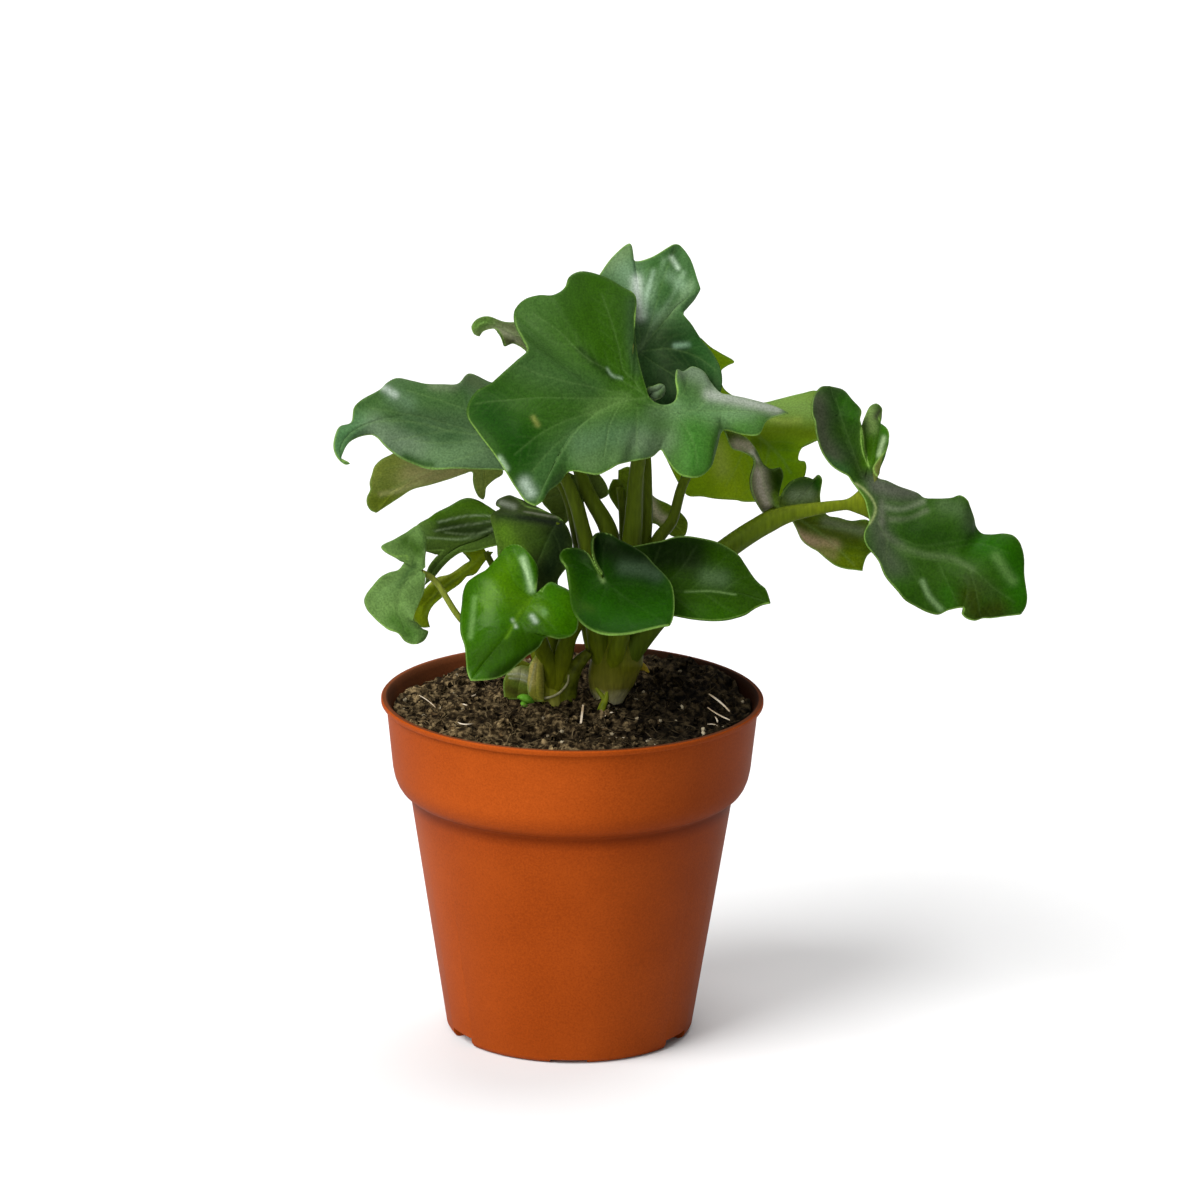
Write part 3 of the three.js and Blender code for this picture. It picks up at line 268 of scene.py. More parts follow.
# How broad and how high the clods, crumbs, fines and dust of the mix's skin are.
CLOD, CLOD_HEIGHT = 9, 2
CRUMB, CRUMB_HEIGHT = 3.8, 2.4
FINE, FINE_HEIGHT = 1.6, 0.95
DUST, DUST_HEIGHT = 0.75, 0.42
BANK_HEIGHT, BANK_TURN, BANK_BREADTH = 4.6, 0.9, 0.5
MIX_RINGS = 100
MIX_SIDES = 440
MIX_WALL = [(32.3, 4.5), (42.8, 68.1), (44.8, 70.4), (47.7, 76.3)]
MIX_TOP_RADIUS = 49.1
CRUMBS = 800
CHIPS = 90
FIBRES = 620
STRAWS = 12
GRITS = 60
mix_random = random.Random(7)


def mix_height(x, y):
    """The height of the smooth mound."""
    reach = min(1, math.hypot(x, y) / MIX_REACH)
    lumps = math.sin(0.31 * x + 1.3) * math.cos(0.27 * y - 0.4) + 0.6 * math.sin(0.19 * (x - y))
    return MIX_EDGE + MIX_MOUND * (1 - reach**2) + MIX_LUMPS * lumps * (1 - reach**4)


def rough_height(x, y):
    """The mound with its clods and crumbs, banked up against the wall at the back on the right."""
    clods = noise.noise(Vector((x, y, 0)) / CLOD) * CLOD_HEIGHT
    crumbs = (0.35 - abs(noise.noise(Vector((x, y, 9)) / CRUMB))) * CRUMB_HEIGHT
    fines = noise.noise(Vector((x, y, 4)) / FINE) * FINE_HEIGHT
    dust = noise.noise(Vector((x, y, 2)) / DUST) * DUST_HEIGHT
    round_to = math.exp(-(((math.atan2(y, x) - BANK_TURN) / BANK_BREADTH) ** 2))
    bank = BANK_HEIGHT * round_to * (math.hypot(x, y) / MIX_TOP_RADIUS) ** 3
    return mix_height(x, y) - 0.4 + clods + crumbs + fines + dust + bank


def mix_surface():
    """The mix's skin: its flat bottom, its side against the pot's wall, and its rough top."""
    points, faces = lathe([(0, 4.5), *MIX_WALL, (MIX_TOP_RADIUS, MIX_EDGE - 1.5)], MIX_SIDES)
    ring = list(range(len(points) - MIX_SIDES, len(points)))
    for j in range(MIX_RINGS, 0, -1):
        radius = MIX_TOP_RADIUS * (j / MIX_RINGS) ** 0.8
        above = list(range(len(points), len(points) + MIX_SIDES))
        for i in range(MIX_SIDES):
            turn = 2 * math.pi * i / MIX_SIDES
            x, y = radius * math.cos(turn), radius * math.sin(turn)
            points.append((x, y, rough_height(x, y)))
        for i in range(MIX_SIDES):
            k = (i + 1) % MIX_SIDES
            faces.append((ring[i], ring[k], above[k], above[i]))
        ring = above
    points.append((0, 0, rough_height(0, 0)))
    for i in range(MIX_SIDES):
        faces.append((ring[i], ring[(i + 1) % MIX_SIDES], len(points) - 1))
    return points, faces


def loose_place(margin=1.5):
    """A random point on the mix, clear of the pot's wall."""
    radius = (MIX_TOP_RADIUS - margin) * math.sqrt(mix_random.random())
    turn = mix_random.uniform(0, 2 * math.pi)
    return radius * math.cos(turn), radius * math.sin(turn)


def knocked(shape, size, flat, lift):
    """A bit lying on the mix: a regular shape, squashed and knocked out of true."""
    x, y = loose_place()
    centre = Vector((x, y, rough_height(x, y) + lift * size))
    turn = Matrix.Rotation(mix_random.uniform(0, 2 * math.pi), 3, "Z")
    tip, roll = mix_random.gauss(0, 0.5), mix_random.gauss(0, 0.5)
    tilt = Matrix.Rotation(tip, 3, "X") @ Matrix.Rotation(roll, 3, "Y")
    squash = Vector((1, mix_random.uniform(0.55, 0.9), flat))
    corners = []
    for corner in shape[0]:
        grown = Vector([c * s * size * mix_random.uniform(0.3, 0.62) for c, s in zip(corner, squash)])
        corners.append(centre + turn @ tilt @ grown)
    return corners, shape[1]


GOLD = (1 + math.sqrt(5)) / 2
ROUND_BIT = (
    [(0, i, j * GOLD) for i in (-1, 1) for j in (-1, 1)]
    + [(i, j * GOLD, 0) for i in (-1, 1) for j in (-1, 1)]
    + [(i * GOLD, 0, j) for i in (-1, 1) for j in (-1, 1)],
    [
        (0, 2, 8), (0, 8, 4), (0, 4, 6), (0, 6, 9), (0, 9, 2), (3, 1, 10), (3, 10, 5), (3, 5, 7),
        (3, 7, 11), (3, 11, 1), (2, 5, 8), (8, 5, 10), (8, 10, 4), (4, 10, 1), (4, 1, 6), (6, 1, 11),
        (6, 11, 9), (9, 11, 7), (9, 7, 2), (2, 7, 5),
    ],
)
SPLIT_BIT = (
    [(i, j, k) for i in (-1.6, 1.6) for j in (-0.8, 0.8) for k in (-1, 1)],
    BOX_SIDES,
)


def strand(start, end, radius, sag=0.0, curl=0.0, sides=4, step=0.9):
    """A fibre or straw between two points, bowed down and to one side, tapering to its ends."""
    start, end = Vector(start), Vector(end)
    run = end - start
    aside = Vector((-run.y, run.x, 0)).normalized()
    count = max(3, int(run.length / step))
    points = []
    for i in range(count + 1):
        along = i / count
        bow = 4 * along * (1 - along)
        middle = start + run * along + aside * curl * bow - Vector((0, 0, sag * bow))
        thin = radius * (1 if 0 < i < count else 0.5)
        for j in range(sides):
            angle = 2 * math.pi * j / sides
            points.append(middle + (aside * math.cos(angle) + Vector((0, 0, math.sin(angle)))) * thin)
    faces = []
    for i in range(count):
        for j in range(sides):
            k = (j + 1) % sides
            faces.append((sides * i + j, sides * i + sides + j, sides * i + sides + k, sides * i + k))
    faces += [tuple(range(sides)), tuple(sides * count + j for j in range(sides - 1, -1, -1))]
    return points, faces


def loose_strand(length, radius, steep):
    """A fibre or straw dropped on the mix, with its ends a little up or down."""
    x, y = loose_place(1 + length / 2)
    turn = mix_random.uniform(0, 2 * math.pi)
    half = Vector((math.cos(turn), math.sin(turn), 0)) * length / 2
    middle = Vector((x, y, 0))
    ends = []
    for end in (middle - half, middle + half):
        lift = mix_random.uniform(-0.4, steep)
        ends.append((end.x, end.y, rough_height(end.x, end.y) + lift))
    sag = mix_random.uniform(-0.5, 0.2)
    return strand(*ends, radius, sag=sag, curl=mix_random.gauss(0, 0.16) * length)


def mix_finish(name, shades, size, rough, detail=5, relief=0.0, fall=0.0):
    """Peat, bark, fibre, grit or young tissue: shades of one colour, changing from spot to spot; with relief,
    painted shade in the hollows and painted light on the tops, and with a fall, a painted shadow toward the
    right.
    """
    material, tree, shader, add = node_tree(name)
    patches = speckle(tree, add, size, detail)
    stops = [(0.34 + 0.3 * i / (len(shades) - 1), shade) for i, shade in enumerate(shades)]
    tint = ramp(tree, add, patches.outputs["Fac"], stops)
    colour = tint.outputs["Color"]
    if relief:
        # The mound is the cap of a sphere, so the distance from its centre is the height on the mound.
        place = add("TexCoord")
        height = add("VectorMath", operation="DISTANCE")
        height.inputs[1].default_value = (0, 0, -MOUND_SPHERE * MM)
        tree.links.new(place.outputs["Object"], height.inputs[0])
        low, high = (MOUND_SPHERE + MIX_TOP - 1.8) * MM, (MOUND_SPHERE + MIX_TOP + 1.8) * MM
        # Painted shade in the hollows below the mound, and painted light on the clods above it.
        painted_hollow_shade = spread(tree, add, height.outputs["Value"], low, high, 0.25, 1.75)
        colour = shaded(tree, add, colour, painted_hollow_shade)
        clods = speckle(tree, add, 6, 4)
        shade = ramp(tree, add, clods.outputs["Fac"], [(0.38, (0.6, 0.57, 0.54)), (0.62, (1.3, 1.3, 1.3))])
        colour = shaded(tree, add, colour, shade.outputs["Color"])
    # Painted shadow of the plant, darker toward the right.
    if fall:
        colour = darker_right(tree, add, colour, fall, *INNER_FALL)
    tree.links.new(colour, shader.inputs["Base Color"])
    shader.inputs["Roughness"].default_value = rough
    shader.inputs["Specular IOR Level"].default_value = 0.05
    if relief:
        grain = speckle(tree, add, 0.45, 5)
        bump(tree, add, shader, grain.outputs["Fac"], relief, 0.9)
    return material


mix_points, mix_faces = mix_surface()
mix_kinds = [0] * len(mix_faces)


def strew(bits, kind):
    """Adds loose bits to the mix, all in the finish of that number."""
    for points, faces in bits:
        base = len(mix_points)
        mix_points.extend(points)
        mix_faces.extend(tuple(base + i for i in face) for face in faces)
        mix_kinds.extend([kind] * len(faces))


between = mix_random.uniform
strew([knocked(ROUND_BIT, 0.4 + 2.2 * mix_random.random() ** 2, 0.8, 0.05) for _ in range(CRUMBS)], 0)
strew([knocked(SPLIT_BIT, between(0.6, 1.7), 0.25, 0.1) for _ in range(CHIPS)], 1)
strew([loose_strand(between(1.5, 6), between(0.06, 0.13), 0.9) for _ in range(FIBRES)], 2)
strew([loose_strand(between(2.5, 7), between(0.12, 0.22), 0.7) for _ in range(STRAWS)], 3)
strew([knocked(ROUND_BIT, between(0.4, 1.1), 0.8, 0.3) for _ in range(GRITS)], 4)
# Eight straws, placed one by one: both ends, the radius and the bow.
LYING_STRAWS = [
    ((2.3, -21.5, 92.2), (3.0, -19.5, 98.2), 0.3, 0.0),
    ((37.5, -1, 96.2), (43, -10, 94), 0.32, 0.4),
    ((37, -8, 94.5), (43, -16, 93.3), 0.22, -0.5),
    ((39, -14, 93.6), (39.6, -18, 93.2), 0.22, 0.2),
    ((-31, -21, 93.4), (-26.5, -22, 93.4), 0.2, -1.6),
    ((-42, -3, 95.6), (-37, -8, 93.2), 0.16, 0.5),
    ((-30.5, -4, 93.6), (-28, -6, 93.4), 0.22, 0.2),
    ((-1, -43, 92.2), (7, -46.5, 92), 0.26, 0.6),
]
strew([strand(start, end, radius, curl=curl) for start, end, radius, curl in LYING_STRAWS], 3)
PEAT_SHADES = [(0.006, 0.0038, 0.0018), (0.028, 0.019, 0.0085), (0.15, 0.108, 0.053)]
mix_finishes = [
    mix_finish("peat", PEAT_SHADES, 1.7, 0.95, 8, 0.7, 0.8),
    mix_finish("bark", [(0.02, 0.012, 0.005), (0.1, 0.064, 0.028)], 2.5, 0.85, fall=0.7),
    mix_finish("fibre", [(0.03, 0.02, 0.009), (0.15, 0.11, 0.055)], 4, 0.8, fall=0.7),
    mix_finish("straw", [(0.3, 0.22, 0.13), (0.6, 0.52, 0.4)], 3, 0.65),
    mix_finish("grit", [(0.12, 0.09, 0.05), (0.36, 0.31, 0.21)], 3, 0.8),
]
mix = mesh_object("mix_fill", mix_points, mix_faces, mix_finishes, mix_kinds)
mix.data.set_sharp_from_angle(angle=math.radians(70))
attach(mix, "root")
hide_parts("potting_mix")

# The crowns: the swollen, fleshy feet that the stalks grow from, blanched where the mix covered
# them, going down into it to their roots. The larger one carries the tall leaves.
SIGHT_TILT = math.radians(15.6)
SIGHT_DISTANCE = 1833
SIGHT_ACROSS = 7.3
SIGHT_UP = 118
# Routes run from foot to end: across, up and in front, as seen from the front.
MAIN_CROWN = [
    (9.5, 68, -6), (9.5, 86, -6), (9.8, 92, -6), (11, 98, -6), (13, 104.5, -6), (14.2, 109, -6.5),
]
MAIN_CROWN_RADII = (2.4, 2.8, 3.2, 3.9, 6.2, 7.1, 5.5)
SIDE_CROWN = [(-5, 72, -4.5), (-5.5, 88, -4.5), (-6, 99, -4.5)]
SIDE_CROWN_RADII = (2.4, 3.6, 4.2, 3)
MAIN_ROOTS = [
    [(9, 76, -6), (20, 66, 4), (26, 46, 8)],
    [(10, 74, -6), (24, 62, -14), (28, 40, -22)],
    [(9, 74, -6), (4, 58, -20), (8, 34, -26)],
    [(9, 74, -6), (12, 52, -2), (4, 30, 8)],
]
SIDE_ROOTS = [
    [(-5, 78, -4.5), (-18, 66, 4), (-24, 46, 10)],
    [(-5, 78, -4.5), (-14, 62, -16), (-24, 42, -20)],
]
ROOT_RADII = (1.3, 1, 0.7)


def seen(across, up, front):
    """Points set out across and up the front view, and in front of the pot's axis, in millimetres."""
    sin, cos = math.sin(SIGHT_TILT), math.cos(SIGHT_TILT)
    near = front * cos + (up + front * sin) / cos * sin
    shrink = 1 - near / SIGHT_DISTANCE
    x = SIGHT_ACROSS + (across - SIGHT_ACROSS) * shrink
    height = SIGHT_UP + (up - SIGHT_UP) * shrink
    return np.stack([x, -front + 0 * x, (height + front * sin) / cos], axis=-1)


def curve_points(points, places):
    """Points on a smooth curve through the given ones, at places counted from 0 in points."""
    points = np.asarray(points, dtype=float)
    if len(points) == 1:
        return np.repeat(points, len(places), axis=0)
    ends = np.vstack([2 * points[0] - points[1], points, 2 * points[-1] - points[-2]])
    index = np.clip(np.floor(places).astype(int), 0, len(points) - 2)
    weight = (np.asarray(places) - index)[:, None]
    p0, p1, p2, p3 = (ends[index + i] for i in range(4))
    gap0, gap1, gap2 = (
        np.linalg.norm(b - a, axis=1)[:, None] ** 0.5 for a, b in ((p0, p1), (p1, p2), (p2, p3))
    )
    gap1 = np.where(gap1 < 1e-4, 1, gap1)
    gap0 = np.where(gap0 < 1e-4, gap1, gap0)
    gap2 = np.where(gap2 < 1e-4, gap1, gap2)
    start = ((p1 - p0) / gap0 - (p2 - p0) / (gap0 + gap1) + (p2 - p1) / gap1) * gap1
    end = ((p2 - p1) / gap1 - (p3 - p1) / (gap1 + gap2) + (p3 - p2) / gap2) * gap1
    return (
        p1
        + start * weight
        + (-3 * p1 + 3 * p2 - 2 * start - end) * weight**2
        + (2 * p1 - 2 * p2 + start + end) * weight**3
    )


def run_lengths(line):
    """How far along a line of points each of them is."""
    return np.concatenate([[0], np.cumsum(np.linalg.norm(np.diff(line, axis=0), axis=1))])


def stem_line(route):
    """Close points on the smooth line through a route."""
    fine = np.linspace(0, len(route) - 1, 60 * len(route))
    return curve_points(seen(*np.array(route, dtype=float).T), fine)


def sweep(route, radii, sides=20, step=0.9, deep=1.0, ridges=0.0, ridge_count=9, lumps=0.0, share=1.0):
    """A round stem along a smooth route. Its radii are spread evenly from foot to end."""
    line = stem_line(route)
    lengths = run_lengths(line)
    count = max(6, int(lengths[-1] * share / step))
    at = np.linspace(0, lengths[-1] * share, count + 1)
    centres = np.stack([np.interp(at, lengths, line[:, i]) for i in range(3)], axis=-1)
    directions = np.gradient(centres, axis=0)
    directions /= np.linalg.norm(directions, axis=1)[:, None]
    across = Vector((1, 0, 0))
    points = []
    for i, (centre, direction) in enumerate(zip(centres, directions)):
        along = i / count * share
        forward = Vector(direction)
        across = (across - forward * across.dot(forward)).normalized()
        out = forward.cross(across)
        radius = np.interp(along, np.linspace(0, 1, len(radii)), radii)
        flat = 1 + (deep - 1) * along**4
        for j in range(sides):
            angle = 2 * math.pi * j / sides
            wander = 3 * noise.noise(Vector((0, 0, along * 3)))
            ridge = 1 + ridges * math.cos(ridge_count * angle + wander)
            spot = Vector(centre) * 0.11 + Vector((math.cos(angle), math.sin(angle), 0))
            swell = 1 + lumps * noise.noise(spot)
            offset = (across * math.cos(angle) + out * math.sin(angle)) * radius * ridge * swell
            offset.y *= flat
            points.append(Vector(centre) + offset)
    faces = []
    for i in range(count):
        for j in range(sides):
            k = (j + 1) % sides
            faces.append((sides * i + j, sides * i + k, sides * (i + 1) + k, sides * (i + 1) + j))
    faces.append(tuple(range(sides - 1, -1, -1)))
    faces.append(tuple(sides * count + j for j in range(sides)))
    return points, faces


def joined(parts):
    """Several closed shapes as one mesh."""
    points, faces = [], []
    for some_points, some_faces in parts:
        base = len(points)
        points.extend(some_points)
        faces.extend(tuple(base + i for i in face) for face in some_faces)
    return points, faces


def fade_up(tree, add, low, high, wander=3.0):
    """A value that goes from 0 at the low height to 1 at the high one, in millimetres, unevenly."""
    uneven = speckle(tree, add, 5)
    shift = spread(tree, add, uneven.outputs["Fac"], 0, 1, -wander * MM, wander * MM)
    total = add("Math", operation="ADD")
    tree.links.new(place_along(tree, add, "Z"), total.inputs[0])
    tree.links.new(shift, total.inputs[1])
    return spread(tree, add, total.outputs["Value"], low * MM, high * MM)


def flesh(name, stops, low, high, rough=0.45, soft=0.15):
    """Living stem: its colour changes up its height, with fine streaks and a waxy skin."""
    material, tree, shader, add = node_tree(name)
    level = fade_up(tree, add, low, high)
    tint = ramp(tree, add, level, stops)
    place = add("TexCoord")
    stretch = add("Mapping", Scale=(1, 1, 0.12))
    tree.links.new(place.outputs["Object"], stretch.inputs["Vector"])
    streaks = add("TexNoise", Scale=1 / (0.8 * MM), Detail=4)
    tree.links.new(stretch.outputs["Vector"], streaks.inputs["Vector"])
    shade = ramp(tree, add, streaks.outputs["Fac"], [(0.3, (0.72, 0.72, 0.72)), (0.7, (1.15, 1.15, 1.15))])
    colour = shaded(tree, add, tint.outputs["Color"], shade.outputs["Color"])
    tree.links.new(colour, shader.inputs["Base Color"])
    shader.inputs["Roughness"].default_value = rough
    shader.inputs["Specular IOR Level"].default_value = 0.14
    shader.inputs["Specular Tint"].default_value = (0.9, 1, 0.45, 1)
    shader.inputs["Subsurface Weight"].default_value = soft
    shader.inputs["Subsurface Radius"].default_value = (1, 1, 0.3)
    shader.inputs["Subsurface Scale"].default_value = 1.2 * MM
    bump(tree, add, shader, streaks.outputs["Fac"], 0.12, 0.5)
    return material


MAIN_CROWN_SHADES = [
    (0.0, (0.8, 0.76, 0.55)), (0.16, (0.58, 0.54, 0.28)), (0.34, (0.2, 0.19, 0.024)),
    (0.6, (0.125, 0.13, 0.008)), (1.0, (0.09, 0.11, 0.004)),
]
SIDE_CROWN_SHADES = [(0.0, (0.3, 0.28, 0.07)), (0.3, (0.25, 0.27, 0.016)), (1.0, (0.18, 0.22, 0.008))]
crown_skin = flesh("crown_skin", MAIN_CROWN_SHADES, 90, 110)
side_crown_skin = flesh("side_crown_skin", SIDE_CROWN_SHADES, 90, 108)
for name, skin, route, radii, roots in (
    ("main", crown_skin, MAIN_CROWN, MAIN_CROWN_RADII, MAIN_ROOTS),
    ("side", side_crown_skin, SIDE_CROWN, SIDE_CROWN_RADII, SIDE_ROOTS),
):
    shapes = [sweep(route, radii, sides=48, step=0.6, ridges=0.02, ridge_count=5, lumps=0.08)]
    shapes += [sweep(root, ROOT_RADII, sides=8, step=2) for root in roots]
    crown = mesh_object(f"{name}_crown", *joined(shapes), [skin])
    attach(crown, "root")
    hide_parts(f"crown_{name}")

# The leaves: seventeen lobed blades with wavy margins, thick and leathery. Each is given as it is
# seen from the front, bay by bay, by its spine and by the two margins a and b on either side, with
# its veins, its greens and the marks on it: painted sheens, glints and highlights, painted shadows
# and the painted shade of folds, and spots and streaks of its own colour, each a soft stroke.
LEAF_THICKNESS = 0.6
LEAF_STEP = 0.62
PUFF = 0.24
VEIN_DEPTH = 0.1
FINE_VEIN_DEPTH = 0.03
WAVE = 0.5
# Farther from a line than any point of a leaf, in millimetres.
FAR = 1e3
MARGIN_GREEN = (0.17, 0.3, 0.055)
VEIN_GREEN = (0.16, 0.27, 0.08)
# Light that comes through a blade passes both of its faces, so each gives it about half the tint.
HALF_TINT = 0.45


def leaf_rows(leaf):
    """The three smooth lines of a leaf and, for each row across it, its places on them."""
    lines = {}
    for side in ("spine", "a", "b"):
        points = [point for bay in leaf["bays"] for point in bay[side]] + [leaf["tip"]]
        lines[side] = [tuple(point) + (0,) * (3 - len(point)) for point in points]
    first = dict.fromkeys(lines, 0)
    rows = []
    for bay in leaf["bays"]:
        count = max(len(bay[side]) for side in lines)
        for i in range(count):
            along = i / (count - 1) if count > 1 else 0
            rows.append([first[side] + along * (len(bay[side]) - 1) for side in lines])
        for side in lines:
            first[side] += len(bay[side])
    rows.append([first[side] for side in lines])
    return lines, np.array(rows, dtype=float)


def leaf_grid(leaf, step):
    """A fine net over a leaf: where each point is across and up, and how far in front."""
    lines, rows = leaf_rows(leaf)
    fine = []
    for start, end in zip(rows, rows[1:]):
        gaps = [
            np.linalg.norm(np.diff(curve_points(lines[side], np.array([start[i], end[i]])), axis=0))
            for i, side in enumerate(lines)
        ]
        count = max(2, int(math.ceil(max(gaps) / step)))
        weights = np.linspace(0, 1, count + 1)[:-1, None]
        fine.append(start * (1 - weights) + end * weights)
    fine.append(rows[-1:])
    fine = np.vstack(fine)
    spine, a, b = (curve_points(lines[side], fine[:, i]) for i, side in enumerate(lines))
    widest = max(np.linalg.norm((side - spine)[:, :2], axis=1).max() for side in (a, b))
    across = max(8, int(math.ceil(widest / step)))
    reach = np.concatenate([np.linspace(-1, 0, across + 1)[:-1], np.linspace(0, 1, across + 1)])
    edge = np.where(reach[None, :, None] < 0, a[:, None], b[:, None])
    foot = spine[:, None]
    part = np.abs(reach)[None, :]
    flat = foot[..., :2] * (1 - part[..., None]) + edge[..., :2] * part[..., None]
    rib = np.linalg.norm(edge[..., :2] - foot[..., :2], axis=-1)
    start = np.array(lines["spine"][0][:2])
    lean = leaf["lean"]
    plane = lean[0] * (flat[..., 0] - start[0]) + lean[1] * (flat[..., 1] - start[1])
    lift = foot[..., 2] * (1 - part) + edge[..., 2] * part**1.5
    arch = leaf["rise"] * rib * 4 * part * (1 - part)
    return flat, leaf["front"] + plane + lift + arch


def drawn_line(line, closeness):
    """Close points on the smooth line through the drawn ones."""
    line = np.asarray(line, dtype=float)
    places = np.linspace(0, len(line) - 1, closeness * len(line))
    return curve_points(np.column_stack([line, np.zeros(len(line))]), places)[:, :2]


def line_distance(flat, line, reach):
    """How far each point is from a drawn line, for the points within that reach of its box."""
    fine = drawn_line(line, 6)
    low, high = fine.min(axis=0) - reach, fine.max(axis=0) + reach
    near = np.all((flat >= low) & (flat <= high), axis=-1)
    distance = np.full(flat.shape[:-1], FAR)
    points = flat[near]
    best = np.full(len(points), FAR)
    for p, q in zip(fine, fine[1:]):
        span = q - p
        along = np.clip(((points - p) @ span) / max(span @ span, 1e-9), 0, 1)
        best = np.minimum(best, np.linalg.norm(points - p - along[:, None] * span, axis=1))
    distance[near] = best
    return distance


def side_veins(line, spacing=3.6, length=8, angle=50):
    """Finer veins, drawn off both sides of a main one."""
    fine = drawn_line(line, 8)
    lengths = run_lengths(fine)
    drawn = []
    place = spacing * 0.6
    hand = 1
    while place < lengths[-1] - 1:
        i = min(np.searchsorted(lengths, place), len(fine) - 2)
        ahead = (fine[i + 1] - fine[i]) / max(np.linalg.norm(fine[i + 1] - fine[i]), 1e-6)
        turn = math.radians(angle) * hand
        sin, cos = math.sin(turn), math.cos(turn)
        out = np.array([ahead[0] * cos - ahead[1] * sin, ahead[0] * sin + ahead[1] * cos])
        reach = length * (1 - 0.4 * place / lengths[-1])
        middle = fine[i] + out * reach * 0.5 + ahead * 0.3
        drawn.append([fine[i], middle, fine[i] + out * reach + ahead * reach * 0.25])
        place += spacing * 0.5
        hand = -hand
    return drawn


def field(points, size, seed):
    """Smooth noise over points in millimetres."""
    flat = points.reshape(-1, 3) / size
    values = [noise.noise(Vector((x + seed * 7.3, y - seed * 3.1, z))) for x, y, z in flat.tolist()]
    return np.array(values).reshape(points.shape[:-1])


def margin_distance(flat, outline):
    """How far each point is from the leaf's outline, and the painted light on that edge, stronger where it
    faces left and down, toward the light.
    """
    best = np.full(flat.shape[:-1], FAR)
    lit = np.zeros(flat.shape[:-1])
    for p, q in zip(outline, np.roll(outline, -1, axis=0)):
        span = q - p
        along = np.clip(((flat - p) @ span) / max(span @ span, 1e-9), 0, 1)
        away = p + along[..., None] * span - flat
        distance = np.linalg.norm(away, axis=-1)
        facing = away @ np.array([-0.78, -0.62]) / np.maximum(distance, 1e-6)
        lit = np.where((distance < best) & (distance > 0.02), facing, lit)
        best = np.minimum(best, distance)
    return best, np.clip(0.35 + 0.8 * lit, 0.12, 1)


def unit_normals(net):
    """The directions square to a net of points."""
    along = np.gradient(net, axis=0)
    across = np.gradient(net, axis=1)
    square = np.cross(along, across)
    lengths = np.linalg.norm(square, axis=-1, keepdims=True)
    return square / np.maximum(lengths, 1e-9)


